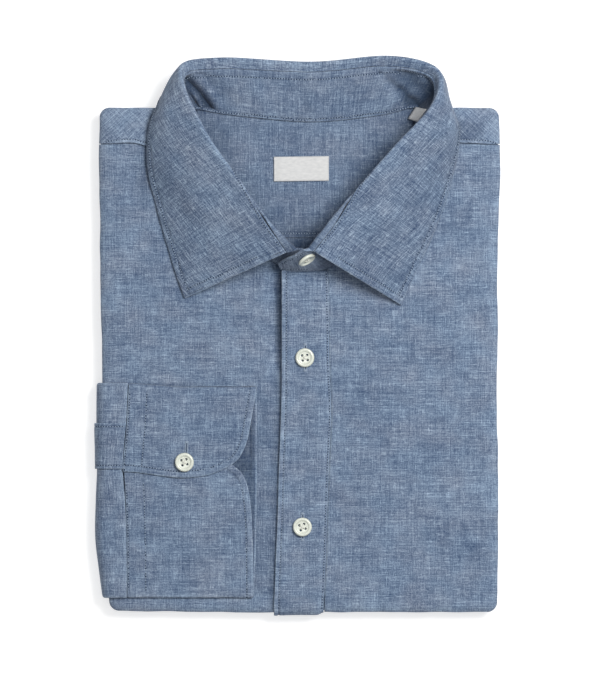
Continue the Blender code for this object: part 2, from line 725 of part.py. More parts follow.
def build_collar_leaf(material):
    """The fall round the neck, from its seam over the ridge to its outer edge."""
    sections = []
    for row in collar_sections():
        path, lengths, middle = collar_path(row)
        sections.append([tuple(walk(path, lengths, at)) for at in collar_marks(row)[1]])
    points = [point for section in sections for point in section]
    faces = grid_faces(len(sections), len(sections[0]))
    return add_sheet("collar_leaf", points, faces, material, LEAF_CLOTH, 0)


def stand_section(row):
    path, lengths, middle = collar_path(row)
    return [tuple(walk(path, lengths, at)) for at in collar_marks(row)[0]]


def stand_sections():
    """Sections of the stand from its under end round the back to its upper end."""
    rows = loft_rows(STAND_UNDER_END, 1) + collar_sections() + loft_rows(STAND_UPPER_END, 1)
    return [stand_section(row) for row in rows]


def build_collar_stand(material):
    sections = stand_sections()
    points = [point for section in sections for point in section]
    faces = grid_faces(len(sections), len(sections[0]))
    return add_sheet("collar_stand", points, faces, material, STAND_CLOTH, 0)


# ---------------------------------------------------------------- sleeve and cuff
def sleeve_path(y):
    """Middle line of the flattened sleeve at one height up the shirt, with its normals."""
    left = read_table(SLEEVE_SIDES, "y", "left", y) + SLEEVE_HALF
    seam = read_table(SLEEVE_SIDES, "y", "seam", y) - CUFF_GAP
    low = SLEEVE_HALF + 0.2
    path = []
    for row in SLEEVE_WRAP:
        flat_x = left + SLEEVE_FLAT_INSET + (seam - left - SLEEVE_FLAT_INSET) * row.flat
        x = left + row.inset if row.inset or row.rise < 0.9 else flat_x
        high = front_top(max(x, left + SLEEVE_FLAT_INSET), y) + SEAM_GAP + SLEEVE_HALF
        path.append(Vector((x, low + (high - low) * row.rise)))
    normals = []
    for i in range(len(path)):
        run = path[min(i + 1, len(path) - 1)] - path[max(i - 1, 0)]
        normals.append(Vector((run.y, -run.x)).normalized())
    return path, normals


def sleeve_loop():
    """The flattened tube's section: places up the shirt, and sides of its middle line."""
    ys = spread(SLEEVE_TOP_Y - SLEEVE_HALF, SLEEVE_FOOT_Y + SLEEVE_HALF, SLEEVE_STEPS)
    loop = [(y, 1.0) for y in ys]
    loop += [(SLEEVE_FOOT_Y + 0.3, 0.6), (SLEEVE_FOOT_Y, 0.0), (SLEEVE_FOOT_Y + 0.3, -0.6)]
    loop += [(y, -1.0) for y in reversed(ys)]
    loop += [(SLEEVE_TOP_Y - 0.3, -0.6), (SLEEVE_TOP_Y, 0.0), (SLEEVE_TOP_Y - 0.3, 0.6)]
    return loop


def build_sleeve(material):
    """The sleeve's end: a flattened tube from the cuff over the side, open at both ends."""
    points = []
    loop = sleeve_loop()
    for y, share in loop:
        path, normals = sleeve_path(y)
        for place, normal in zip(path, normals):
            out = place + normal * (SLEEVE_HALF * share)
            points.append((out.x, y, out.y))
    steps = len(SLEEVE_WRAP)
    faces = grid_faces(len(loop), steps)
    last = (len(loop) - 1) * steps
    for j in range(steps - 1):
        faces.append((last + j, last + j + 1, j + 1, j))
    return add_sheet("sleeve_end", points, faces, material, CLOTH, -1)


def build_sleeve_placket(material):
    """The gauntlet strip, made from the sleeve's own path moved out."""
    points = []
    out = SLEEVE_HALF + LAYER + GAUNTLET_CLEAR
    for y in spread(GAUNTLET_TOP_Y, GAUNTLET_FOOT_Y, 3):
        path, normals = sleeve_path(y)
        for place, normal in list(zip(path, normals))[:GAUNTLET_WRAPS]:
            spot = place + normal * out
            points.append((spot.x, y, spot.y))
    faces = grid_faces(4, GAUNTLET_WRAPS)
    return add_sheet("sleeve_placket", points, faces, material, CLOTH, -1)


def build_cuff(material):
    """The cuff: one band, flattened, its upper flap lapped over its lower flap."""
    points = []
    for row in CUFF_ROWS:
        for x in spread(row.seam, row.edge, CUFF_STEPS):
            points.append((x, row.y, front_top(x, row.y) + row.level))
    faces = grid_faces(len(CUFF_ROWS), CUFF_STEPS + 1)
    return add_sheet("cuff", points, faces, material, CLOTH, 0)


# ---------------------------------------------------------------- buttons and labels
def build_button(name, place, turn, material):
    """A four-hole button, turned about its own axis then set at its place."""
    mesh = bpy.data.meshes.new(name)
    profile = [(radius * MM, 0.0, height * MM) for radius, height in BUTTON_LATHE]
    mesh.from_pydata(profile, [(i, i + 1) for i in range(len(profile) - 1)], [])
    mesh.materials.append(material)
    button = bpy.data.objects.new(name, mesh)
    bpy.context.collection.objects.link(button)
    lathe = button.modifiers.new("Lathe", "SCREW")
    lathe.steps = BUTTON_SIDES
    lathe.render_steps = BUTTON_SIDES
    lathe.use_merge_vertices = True
    lathe.merge_threshold = 0.0001
    lathe.use_smooth_shade = True
    holes = button.modifiers.new("Holes", "BOOLEAN")
    holes.operation = "DIFFERENCE"
    holes.object = build_hole_cutter(name + "_holes", button)
    button.matrix_world = place @ Matrix.Rotation(turn, 4, "Z")
    return button


def build_hole_cutter(name, parent):
    """Four posts where the thread holes go."""
    shape = bmesh.new()
    for i in range(4):
        turn = math.pi / 4 + i * math.pi / 2
        spot = Vector((math.cos(turn), math.sin(turn), 0.0)) * (BUTTON_HOLE_SPREAD * math.sqrt(2) * MM)
        spot.z = BUTTON_LATHE[1][1] / 2 * MM
        bmesh.ops.create_cone(
            shape, cap_ends=True, segments=6, radius1=BUTTON_HOLE / 2 * MM,
            radius2=BUTTON_HOLE / 2 * MM, depth=4 * MM, matrix=Matrix.Translation(spot))
    mesh = bpy.data.meshes.new(name)
    shape.to_mesh(mesh)
    shape.free()
    cutter = bpy.data.objects.new(name, mesh)
    bpy.context.collection.objects.link(cutter)
    cutter.parent = parent
    cutter.hide_render = True
    cutter.display_type = "WIRE"
    return cutter


def build_buttons(material):
    for row in FLAT_BUTTONS:
        height = front_top(row.x, row.y) + row.lift
        spot = Matrix.Translation(Vector((row.x, row.y, height)) * MM)
        build_button(row.name, spot, row.turn, material)


def build_collar_button(material):
    """The button on the stand's lapped end, square to the band."""
    first, second = [[Vector(point) for point in stand_section(row)]
                     for row in loft_rows(STAND_UPPER_END, 1)[:2]]
    foot = (first[0] + second[0]) / 2
    top = (first[-1] + second[-1]) / 2
    foot_run = (second[0] - first[0]).normalized()
    top_run = (second[-1] - first[-1]).normalized()
    along = foot_run.lerp(top_run, COLLAR_BUTTON_TWIST)
    outward = along.cross(top - foot).normalized()
    outward = outward if outward.y < 0.0 else -outward
    stand_off = STAND_CLOTH / 2 + SEAM_GAP + COLLAR_BUTTON_CLEAR
    spot = foot.lerp(top, COLLAR_BUTTON_SHARE) + outward * stand_off
    turned = outward.to_track_quat("Z", "Y").to_matrix().to_4x4()
    build_button("collar_button", Matrix.Translation(spot * MM) @ turned, 0.15, material)


def build_neck_label(material):
    """The bare label on the inner yoke."""
    points = []
    for x in spread(LABEL_LEFT, LABEL_RIGHT, 3):
        for y in (LABEL_TOP_Y, LABEL_FOOT_Y):
            points.append((x, y, front_top(x, y) + SEAM_GAP + LABEL_CLOTH))
    return add_sheet("neck_label", points, grid_faces(4, 2), material, LABEL_CLOTH, -1)


def build_size_tag(material):
    """The small bare tag against the stand's inner face, by the right neck corner."""
    rows = collar_sections()
    first = RIGHT_TURN * COLLAR_SPANS
    chosen = rows[first + 1:first + 4]
    points = []
    for row in chosen:
        path, lengths, middle = collar_path(row)
        low = walk(path, lengths, TAG_LOW)
        high = walk(path, lengths, TAG_HIGH)
        rise = (high - low).normalized()
        inward = Vector((-1.0, -0.35, 0.0))
        inward = (inward - rise * inward.dot(rise)).normalized()
        move = inward * (STAND_CLOTH / 2 + LABEL_CLOTH / 2 + TAG_CLEAR)
        points.extend([tuple(high + move), tuple(low + move)])
    return add_sheet("size_tag", points, grid_faces(3, 2), material, LABEL_CLOTH, 0)


# ---------------------------------------------------------------- assembly
def centre_on_origin():
    for thing in bpy.data.objects:
        if thing.parent is None:
            thing.location.x += CENTRE_SHIFT_X * MM
            thing.location.y += CENTRE_SHIFT_Y * MM


def main():
    clear_scene()
    chambray = make_material("chambray", CHAMBRAY, 0.85)
    inside = make_material("chambray_inside", CHAMBRAY_INSIDE, 0.88)
    button_white = make_material("button", BUTTON_WHITE, 0.30)
    label_white = make_material("label", LABEL_WHITE, 0.80)
    build_core(inside)
    build_front("left_front", -1, chambray)
    build_front("right_front", 1, chambray)
    build_yoke_shoulder("yoke_left_shoulder", -1, chambray)
    build_yoke_shoulder("yoke_right_shoulder", 1, chambray)
    build_yoke_inside(inside)
    build_back_inside(inside)
    build_placket_band(chambray)
    build_collar_stand(inside)
    build_collar_leaf(chambray)
    build_sleeve(chambray)
    build_sleeve_placket(chambray)
    build_cuff(chambray)
    build_buttons(button_white)
    build_collar_button(button_white)
    build_neck_label(label_white)
    build_size_tag(label_white)
    centre_on_origin()


main()
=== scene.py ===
"""Chambray shirt folded flat, fronts up, on a plain pale floor.

The cloth pieces, buttons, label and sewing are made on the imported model's frame. Sizes in the
tables are millimetres: +X across the shirt, +Y towards the collar, +Z up from the floor.
"""

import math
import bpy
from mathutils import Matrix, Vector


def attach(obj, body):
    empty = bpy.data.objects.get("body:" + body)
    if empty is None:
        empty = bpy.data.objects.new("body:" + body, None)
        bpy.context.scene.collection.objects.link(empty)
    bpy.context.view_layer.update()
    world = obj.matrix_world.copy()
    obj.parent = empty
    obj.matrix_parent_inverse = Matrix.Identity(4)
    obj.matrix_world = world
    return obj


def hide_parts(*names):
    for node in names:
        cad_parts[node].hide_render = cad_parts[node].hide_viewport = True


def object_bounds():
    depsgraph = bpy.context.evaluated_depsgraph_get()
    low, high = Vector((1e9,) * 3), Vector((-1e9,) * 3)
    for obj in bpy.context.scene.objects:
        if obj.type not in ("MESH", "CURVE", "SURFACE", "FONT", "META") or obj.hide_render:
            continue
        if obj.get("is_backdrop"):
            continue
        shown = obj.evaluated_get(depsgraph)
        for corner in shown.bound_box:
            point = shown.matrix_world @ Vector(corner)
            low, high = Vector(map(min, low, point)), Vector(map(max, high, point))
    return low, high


bl_info = {
    "name": "Folded Chambray Shirt",
    "version": (1, 0, 0),
    "blender": (4, 5, 0),
    "location": "View3D > Sidebar > Shirt",
    "description": "Builds a folded chambray shirt with its collar, cuff, buttons and sewing",
    "category": "Object",
}

from bisect import bisect_right
from collections import namedtuple

import bmesh
import bpy
from mathutils import Matrix, Vector, kdtree, noise
from mathutils.bvhtree import BVHTree

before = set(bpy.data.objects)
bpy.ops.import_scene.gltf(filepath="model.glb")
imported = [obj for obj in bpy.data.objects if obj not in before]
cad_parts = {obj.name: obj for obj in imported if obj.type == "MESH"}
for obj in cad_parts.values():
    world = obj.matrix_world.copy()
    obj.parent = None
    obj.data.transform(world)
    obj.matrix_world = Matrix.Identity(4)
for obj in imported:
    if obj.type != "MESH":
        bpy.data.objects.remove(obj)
CAD_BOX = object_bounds()

MM = 0.001
CENTRE_SHIFT = Vector((0.45, 0.24, 0))


def table(columns, *rows):
    """Rows of values under named columns."""
    kind = namedtuple("Row", columns)
    return tuple(kind(*row) for row in rows)


# ---- the stack's form
CLOTH = 1.2
SEAM_GAP = 0.3
LAYER = CLOTH + SEAM_GAP
STACK_MIDDLE = 15.4
STACK_FOOT_DROP = 1.2
STACK_CROWN = 0.8
STACK_HALF_WIDTH = 119
TOP_EDGE_Y = 136.6
FOOT_EDGE_Y = -165.9
CORNER_RADIUS = 6
ROLL_REACH = 10
TOP_LOBE = 5

# Side folds: the stack's left and right edge at each height up the shirt.
SIDE_ROWS = table(
    "y left right",
    (128, -119, 121.6), (105, -119.4, 122.3), (70, -118.8, 121.4), (38, -118.6, 120.6),
    (9, -118, 120.9), (-36, -117.2, 120.2), (-75, -116.4, 121), (-125, -115, 121),
    (-163, -113.3, 120.3))

# The outermost fold's roll, and the core's inside it: how far in, and how far down the lobe.
FRONT_ROLL = table(
    "inset drop",
    (8, 0.004), (6.2, 0.02), (4.6, 0.055), (3.3, 0.105), (2.2, 0.17), (1.3, 0.26), (0.6, 0.36),
    (0.15, 0.47), (0, 0.57), (0.2, 0.68), (0.8, 0.8), (1.8, 0.9), (3.2, 0.97), (5.4, 1), (8, 1))
CORE_ROLL = table(
    "inset drop",
    (8.6, 0.03), (6.2, 0.1), (4.8, 0.19), (3.7, 0.32), (2.8, 0.45), (2.4, 0.6), (2.7, 0.77),
    (3.6, 0.9), (6, 1), (10.6, 1))
# Lower lobes of folded layers: outermost inset, and the waviness of each layer's edge.
LOWER_LOBES = table(
    "inset wave",
    (0.9, 0.5), (2, 0.8), (1.2, 0.6), (2.4, 0.5))
# One layer's edge in section: share of the lobe's height from its top, and inset past the lobe's.
LOBE_STEPS = table(
    "down inset",
    (0.02, 3.4), (0.06, 1.9), (0.16, 0.8), (0.32, 0.2), (0.5, 0), (0.68, 0.2), (0.84, 0.8),
    (0.94, 1.9), (0.98, 3.4))
LOBE_STEPS_FOOT = table(
    "down inset",
    (0.02, 3.4), (0.06, 1.9), (0.16, 0.8), (0.32, 0.2), (0.5, 0), (0.7, 0.2), (0.88, 0.9),
    (0.97, 2.2), (1, 5.1))

# Soft creases of the body's cloth, as ridges (height above 0) and troughs (below).
BODY_CREASES = table(
    "x0 y0 x1 y1 width height",
    (-13.6, 38, -13.6, -14, 3.3, -2.7), (-13.4, -18, -15.2, -80, 2.4, -1.3),
    (-15.6, -90, -17.6, -165, 2.2, -1), (-101, 108, -96, 84, 4.5, -0.5),
    (-111, 118, -84, 122, 4, 0.45), (94, 126, 100, 112, 4, -0.9), (104, 132, 117, 108, 4.5, 0.5),
    (40, -168, 42, -156, 2.6, 0.55), (50, -168, 49, -157, 2.2, -0.45),
    (58, -168, 60, -155, 2.4, 0.5), (84, -168, 83, -158, 3, -0.4), (34, 10, 38, -30, 5, -0.28),
    (46, -40, 44, -76, 6, 0.25), (104, 44, 108, 2, 6, -0.3), (-104, 60, -106, 6, 6, 0.28),
    (-60, 16, -58, -22, 6, -0.25), (70, -96, 74, -132, 6.5, -0.25), (26, -60, 110, -58, 6, 0.2),
    (24, 26, 64, 14, 5, -0.25), (2, 64, 26, 84, 6, -0.45))

# ---- placket, yoke and neck
BAND_ROWS = table(
    "y left right curl",
    (38.6, -9.4, 18.5, 2.8), (10, -9.4, 19, 2.6), (-18, -9.4, 19.4, 1.8), (-47, -9.8, 20.5, 0.9),
    (-79, -11.1, 19.1, 0.6), (-112, -12, 17.9, 0.6), (-133, -12.9, 17.3, 0.5),
    (-166, -14, 15.8, 0.4))
BAND_LIFT = LAYER + 0.15
BAND_CLEAR = 0.06
UNDER_LAP = 5.6
BAND_STEP = 4.2

YOKE_SEAM = table(
    "x y",
    (-119, 111.6), (-113, 114), (-99, 115), (-88, 112.8), (90, 115), (114, 114.2), (122, 112))
YOKE_INNER_SEAM_Y = 58
BACK_INSIDE_FOOT_Y = 43
BACK_SEAM_Y = 40
NECK_CLEAR = 1.1
STAND_CLEAR = 0.6

# ---- collar
# A row for each section round the neck from the left point to the right one: where the stand
# meets the neck seam and how far over the panels, the ridge the leaf folds over, the leaf's
# outer edge, its bow, the fold's radius, and how far past the ridge its seam lies.
COLLAR_ROWS = table(
    "name neck_x neck_y lift ridge_x ridge_y ridge_z edge_x edge_y edge_z bow fold seam",
    ("left point", -8.5, 41, 0.3, 0.4, 52.4, 46, -67.5, 21.8, 17.8, 0, 1.5, 5.6),
    ("left front", -26, 53, 0.3, -16, 70.2, 46, -73, 37, 17.8, 1, 1.5, 1.2),
    ("left breast", -37, 76, 0.3, -33, 94, 45.5, -80.5, 62, 17.8, 2, 1.7, -1.5),
    ("left side", -50.5, 101, 0.3, -50.5, 118, 43.5, -88.5, 92, 17.8, 3, 1.9, -4.5),
    ("left neck", -58, 120, 0.3, -60.5, 137, 40.5, -90, 115, 18, 4, 2.2, -5),
    ("left turn", -62, 131, 0.3, -67, 152.5, 37, -86.6, 131, 18.6, 1.8, 2.4, -6),
    ("left corner", -60, 135.2, 0.3, -68.4, 168.6, 34, -75.6, 146.5, 9, 1.8, 2.6, -6.2),
    ("left back", -42, 132.2, 0.3, -46, 173.8, 32.5, -46, 147, 2, 3, 2.8, -6.6),
    ("centre back", 7, 127.8, 0.3, 8, 170.5, 31.5, 6, 146, 2, 3, 2.8, -5.8),
    ("right back", 48, 131.5, 0.3, 56, 174.8, 34, 54, 147, 2, 3, 2.8, -6),
    ("right corner", 68, 136, 0.3, 83.5, 167, 38.5, 82, 147, 9, 3, 2.6, -5.8),
    ("right turn", 72, 134, 0.3, 87, 152.5, 43, 92.3, 134.5, 18.6, 1.2, 2, -6),
    ("right neck", 70, 122, 0.3, 79, 137, 45.5, 97, 118, 18, 4, 2.2, -5),
    ("right side", 60, 104, 0.3, 60, 117.5, 46, 91.5, 88, 17.8, 3, 1.9, -4.5),
    ("right breast", 46, 80, 0.3, 35.5, 91, 46.5, 80.5, 58, 17.8, 2, 1.7, -1.5),
    ("right front", 32, 55, 0.3, 17.2, 70.2, 46.5, 70.5, 36, 17.8, 1, 1.5, 3.4),
    ("right point", 20, 41, 0.3, 4.2, 53.4, 46.5, 62.5, 17.6, 17.8, 0, 1.5, 3.6))
# The sections that turn the neck's two back corners, and the last one.
LEFT_TURN, RIGHT_TURN = 5, 11
LAST_SECTION = len(COLLAR_ROWS) - 1
STAND_UNDER_END = table(
    "name neck_x neck_y lift ridge_x ridge_y ridge_z edge_x edge_y edge_z bow fold seam",
    ("under end", 8, 41.8, 0.3, 9, 51, 35, -67.5, 21.8, 17.8, 0, 0.3, -0.6),
    ("under top", 2, 41.6, 0.3, 4.6, 51.4, 41, -67.5, 21.8, 17.8, 0, 0.5, -0.9),
    ("under turn", -3.5, 41.2, 0.3, 2.4, 51.8, 44, -67.5, 21.8, 17.8, 0, 1, 1.2))
STAND_UPPER_END = table(
    "name neck_x neck_y lift ridge_x ridge_y ridge_z edge_x edge_y edge_z bow fold seam",
    ("lap turn", 14.5, 39.2, 2, 2.4, 51.8, 45.8, 62.5, 17.6, 17.8, 0, 1.2, 1.6),
    ("lap top", 9, 38.7, 2, 0.2, 50.2, 44, 62.5, 17.6, 17.8, 0, 0.9, -0.6),
    ("lap slope", 3, 38.5, 2, -2.2, 48.2, 40.8, 62.5, 17.6, 17.8, 0, 0.6, -1.2),
    ("lap end", -3, 38.4, 2, -5.6, 46.4, 36, 62.5, 17.6, 17.8, 0, 0.4, -0.8),
    ("lap corner", -7.8, 38.8, 2, -9, 44.6, 30, 62.5, 17.6, 17.8, 0, 0.3, -0.6),
    ("lap tip", -10.3, 39.9, 3, -10.9, 42.3, 25.6, 62.5, 17.6, 17.8, 0, 0.2, -0.4))
STAND_CLOTH = 1.6
LEAF_CLOTH = 1.3
COLLAR_SEAM_GAP = 0.12
FOLD_SEAM_GAP = 1.2
FOLD_CLEAR = 4
COLLAR_SPACING = 1.15

# Creases of the collar's cloth at the neck's corners, by their place from above; on the stand
# their troughs also get painted shade.
STAND_CREASES = table(
    "x0 y0 x1 y1 width height",
    (-66.6, 153, -52.6, 136, 2.5, -3.4), (-67, 149.5, -60.6, 138.4, 1.5, -2.6),
    (-66.5, 150.5, -57, 137, 1.2, 1.6), (-59, 153, -47.5, 138, 2.6, 1.2),
    (-62, 156, -50, 140, 7, -1.2), (-48, 150, -36, 140, 4, -0.5), (-30, 158, -22, 136, 5, 0.4),
    (0, 160, 3, 134, 6, -0.35), (30, 160, 25, 134, 5, 0.35), (50, 157, 58, 151, 1.5, -1.1),
    (54, 151, 60, 147.5, 1.6, -1.2), (62, 146, 69, 139.5, 2.8, -2.6), (66, 154, 80, 142, 7, -3),
    (76, 158, 80, 146, 2.4, -1.4))
# Patches of painted shade in the neck's hollows: each one's middle, its size across and along, and
# how dark it is at its middle.
NECK_SHADE_PATCHES = table(
    "x y across along depth",
    (78, 141.5, 6.5, 7.5, 0.75), (-64, 146, 7, 11, 0.65), (64, 129, 11, 9, 0.6),
    (72, 137.5, 7, 3.6, 1), (66.5, 139.8, 4.5, 3.2, 1.3), (-57, 138, 5, 4.5, 1.1),
    (2, 63, 12, 7, 0.6), (50, 112, 8, 10, 0.45), (36, 102, 7, 9, 0.3), (-48, 120, 12, 15, 0.55),
    (-30, 92, 9, 12, 0.2), (3, 51, 13, 8, 1.15))
LEAF_CREASES = table(
    "x0 y0 x1 y1 width height",
    (-82, 104, -60, 92, 6, 0.5), (-84, 84, -64, 66, 7, -0.5), (-60, 78, -36, 70, 7, 0.4),
    (-72, 50, -44, 46, 6, -0.35), (86, 110, 66, 100, 6, -0.45), (84, 92, 78, 70, 5, -0.8),
    (70, 86, 50, 66, 7, 0.45), (74, 60, 58, 40, 6, 0.4), (46, 52, 30, 58, 6, -0.3))

# ---- sleeve and cuff
SLEEVE_SIDES = table(
    "y left seam",
    (-27.6, -120.4, -101.4), (-50.5, -120.6, -102.4), (-79.3, -120.2, -104.6),
    (-100, -121, -103.2), (-121.5, -121.3, -102.4), (-141.8, -119, -102.2), (-157, -117, -102.2))
SLEEVE_WRAP = table(
    "flat inset rise",
    (1, 0, 1), (0.5, 0, 1), (0, 5.2, 0.99), (0, 2.2, 0.93), (0, 0.5, 0.8), (0, 0, 0.6),
    (0, 0, 0.3), (0, 0.3, 0.1), (0, 1.2, 0))
SLEEVE_FLAT_INSET = 6.5
SLEEVE_HALF = 1.4
CUFF_GAP = 0.1
SLEEVE_TOP_Y = -29.4
SLEEVE_FOOT_Y = -157.4
GAUNTLET_TOP_Y = -53
GAUNTLET_FOOT_Y = -80.5
GAUNTLET_REACH = 0.55
GAUNTLET_STITCH = 2.1

# The cuff band, from its lower flap's hidden end round the foot fold, the back half and the
# top fold to its upper flap's end: height up the shirt at its free edge and how much higher
# it runs at the sleeve seam, its level over the front, and its two edges.
CUFF_ROWS = table(
    "y rise level seam edge",
    (-66.5, 0, 2.4, -103.6, -72), (-68, 0, 2.4, -103.7, -58), (-72, 0, 2.4, -103.9, -47),
    (-78.5, 0, 2.4, -104.2, -38.3), (-84, 0, 2.4, -103.8, -32.6), (-94.4, 0, 2.4, -103.2, -28.9),
    (-112, 0, 2.4, -102.6, -27.1), (-135, 0, 2.4, -102.2, -26.5), (-153, 0, 2.4, -102, -26.4),
    (-156.5, 0, 2.15, -102, -26.4), (-157.2, 0, 1.65, -102, -26.4),
    (-156.5, 0, 1.15, -102, -26.2), (-153, 0, 0.9, -102, -25.8), (-120, 0, 0.9, -102.4, -24.6),
    (-80, 0, 0.9, -103.4, -24.2), (-36, 0, 0.9, -101.6, -24.2), (-32.6, 1.6, 1.15, -101.2, -24.4),
    (-31.9, 2.2, 1.65, -101.2, -24.4), (-32.6, 2.2, 2.15, -101.2, -24.5),
    (-36, 2, 2.6, -101.4, -24.8), (-46, 1.2, 3.2, -101.9, -26.6), (-56, 0.6, 3.7, -102.5, -28.4),
    (-63.5, 0.4, 4, -103.2, -30), (-70.5, 0.6, 4, -103.9, -32.8), (-76.6, 1.4, 4, -104.4, -37.4),
    (-82.4, 2.6, 4, -104.6, -48), (-85, 3.4, 4, -104.6, -58), (-86.2, 4, 4, -104.6, -72))

# ---- buttons, label and tag
FLAT_BUTTONS = table(
    "name x y lift turn",
    ("front_button_upper", 4.6, -13.8, BAND_LIFT + SEAM_GAP, 0.1),
    ("front_button_lower", 3.1, -115.4, BAND_LIFT + SEAM_GAP, 0.3),
    ("cuff_button", -67.7, -76.5, 4 + CLOTH / 2 + SEAM_GAP, 0.2))
# The collar button's place, and how far its face leans towards +X and +Y.
COLLAR_BUTTON = (5.2, 45.8, 35.4, 0.5, -0.8)
BUTTON_PROFILE = table(
    "radius height",
    (3.2, 1.66), (3.45, 1.72), (3.75, 1.95), (4.05, 2.2), (4.45, 2.36), (4.9, 2.36), (5.3, 2.18),
    (5.58, 1.84), (5.7, 1.4), (5.62, 0.96), (5.3, 0.55), (4.6, 0.22), (3.6, 0.06))
BUTTONHOLES = table(
    "piece x y half_length lean",
    ("placket_cloth", 4.9, -13.6, 7.4, 0), ("placket_cloth", 3.3, -115.2, 7.4, 0),
    ("cuff_cloth", -66.7, -72.4, 7.6, 0.05))
HOLE_RADIUS = 0.72
HOLE_SPREAD = 1.5
BUTTON_SIDES = 56
HOLE_SIDES = 18
RIM_BEVEL = 0.13
BUTTON_THREAD = 0.27
THREAD_TOP = 2.02

LABEL_LEFT = -14
LABEL_RIGHT = 19
LABEL_FOOT_Y = 92.2
LABEL_TOP_Y = 107
TAG_CLEAR = 1.4
TAG_PLACES = ((71, 136.6), (77.4, 135.2), (66.6, 129.6), (72.2, 127.6))
STITCH_PITCH = 1.62

# How far along the length of cloth each piece is cut, so that no two show the same yarns.
BAND_CUT, INSIDE_CUT, LEAF_CUT, STAND_CUT = 137, 260, 400, 900
SLEEVE_CUT, GAUNTLET_CUT, CUFF_CUT = 1300, 1700, 2100


# ---- small tools
def around(items, i):
    """The items before and after a place, kept within the list."""
    return items[max(i - 1, 0)], items[min(i + 1, len(items) - 1)]


class Curve:
    """A smooth curve through (place, value) pairs, flat past its ends."""

    def __init__(self, pairs):
        self.pairs = sorted(tuple(pair) for pair in pairs)
        self.slopes = []
        for i in range(len(self.pairs)):
            (low, start), (high, end) = around(self.pairs, i)
            self.slopes.append((end - start) / max(high - low, 1e-6))

    def __call__(self, at):
        i = bisect_right(self.pairs, (at, math.inf)) - 1
        if i < 0 or at >= self.pairs[-1][0]:
            return self.pairs[max(i, 0)][1]
        (low, start), (high, end) = self.pairs[i:i + 2]
        run = high - low
        part = (at - low) / run
        return (start * (1 + 2 * part) * (1 - part) ** 2 + end * part * part * (3 - 2 * part)
                + self.slopes[i] * run * part * (1 - part) ** 2
                + self.slopes[i + 1] * run * part * part * (part - 1))


def column(rows, key, name):
    return Curve([(getattr(row, key), getattr(row, name)) for row in rows])


def rounded(into, over, least):
    """How full a cloth's edge is at a place, rounding up over its first part."""
    return math.sqrt(max(1 - (1 - min(into / over, 1)) ** 2, least))


def patch(x, y, centre_x, centre_y, across, along):
    """1 at the middle of an oval patch, fading out round it."""
    return math.exp(-((x - centre_x) / across) ** 2 - ((y - centre_y) / along) ** 2)


def spread(start, end, count):
    """count + 1 even steps from start to end."""
    return [start + (end - start) * i / count for i in range(count + 1)]


def steps_for(length, step):
    return max(2, math.ceil(abs(length) / step))


def smooth_step(low, high, at):
    part = min(max((at - low) / (high - low), 0), 1)
    return part * part * (3 - 2 * part)


def bump(at, width):
    return math.exp(-(at / width) ** 2)


def ripple(x, y, size, seed):
    return noise.noise(Vector((x / size, y / size, seed)))


def edged(start, end, near_start, near_end, count):
    """Places from start to end, at set steps in from each end and even ones between."""
    low = [start + step for step in near_start]
    high = [end - step for step in reversed(near_end)]
    return low + spread(low[-1], high[0], count)[1:-1] + high


def crease_height(creases, x, y):
    """How high the ridges and troughs of a table lift the cloth at a place."""
    total = 0
    for x0, y0, x1, y1, width, height in creases:
        dx, dy = x1 - x0, y1 - y0
        length = math.hypot(dx, dy)
        along = ((x - x0) * dx + (y - y0) * dy) / length
        across = ((x - x0) * dy - (y - y0) * dx) / length
        past = max(-along, along - length, 0)
        if abs(across) < 3 * width and past < 3 * width:
            across += 0.35 * width * ripple(along, x0, 9, 5.5)
            total += height * bump(across, width) * bump(past, width * 1.4)
    return total


# ---- the body's surface
EDGE = {-1: column(SIDE_ROWS, "y", "left"), 1: column(SIDE_ROWS, "y", "right")}
YOKE_LINE = column(YOKE_SEAM, "x", "y")
BAND = {name: column(BAND_ROWS, "y", name) for name in ("left", "right", "curl")}


def flat_top(x, y):
    foot = 1 - smooth_step(FOOT_EDGE_Y, 40, y)
    crown = STACK_CROWN * (x / STACK_HALF_WIDTH) ** 2
    return STACK_MIDDLE - STACK_FOOT_DROP * foot - crown + LAYER


def settle(x, y):
    """How the cloth lies off its even form: soft swells and its creases."""
    swell = 0.5 * ripple(x, y, 46, 3.1) + 0.26 * ripple(x, y, 19, 7.7)
    small = 0.075 * ripple(x, y, 7.5, 1.9)
    return swell + small + crease_height(BODY_CREASES, x, y)


def cloth_top(x, y):
    return flat_top(x, y) + settle(x, y)


def stack_edge(side, y):
    return EDGE[side](y) - side * (0.35 + 0.35 * ripple(y, side * 7, 13, 2.2))


def side_points(side, ys, inset):
    return [(stack_edge(side, y) - side * inset, y) for y in ys]


def level_edge(end, x):
    edge_y = TOP_EDGE_Y if end > 0 else FOOT_EDGE_Y
    dip = 0.3 + 0.7 * smooth_step(-75, -45, x) if end < 0 else 0
    return edge_y - dip - end * (0.3 + 0.45 * ripple(x, end * 5, 12, 8.8))


def level_points(end, xs, inset):
    return [(x, level_edge(end, x) - end * inset) for x in xs]


CORNER_POINTS = 7
CORNER_TURNS = spread(0.08, math.pi / 2 - 0.08, CORNER_POINTS - 1)


def corner_points(side, end, inset):
    """Points round a corner, from the side edge to the foot (end -1) or top (end 1) edge."""
    edge_y = TOP_EDGE_Y if end > 0 else FOOT_EDGE_Y
    radius = max(CORNER_RADIUS - inset, 1.5)
    centre_x = stack_edge(side, edge_y) - side * (inset + radius)
    centre_y = level_edge(end, centre_x) - end * (inset + radius)
    return [(centre_x + side * radius * math.cos(turn), centre_y + end * radius * math.sin(turn))
            for turn in CORNER_TURNS]


# ---- meshes
def strip_faces(first, second):
    """Faces between two lists of point numbers; a repeated number makes a triangle."""
    faces = [tuple(dict.fromkeys(corners))
             for corners in zip(first, first[1:], second[1:], second)]
    return [face for face in faces if len(face) > 2]


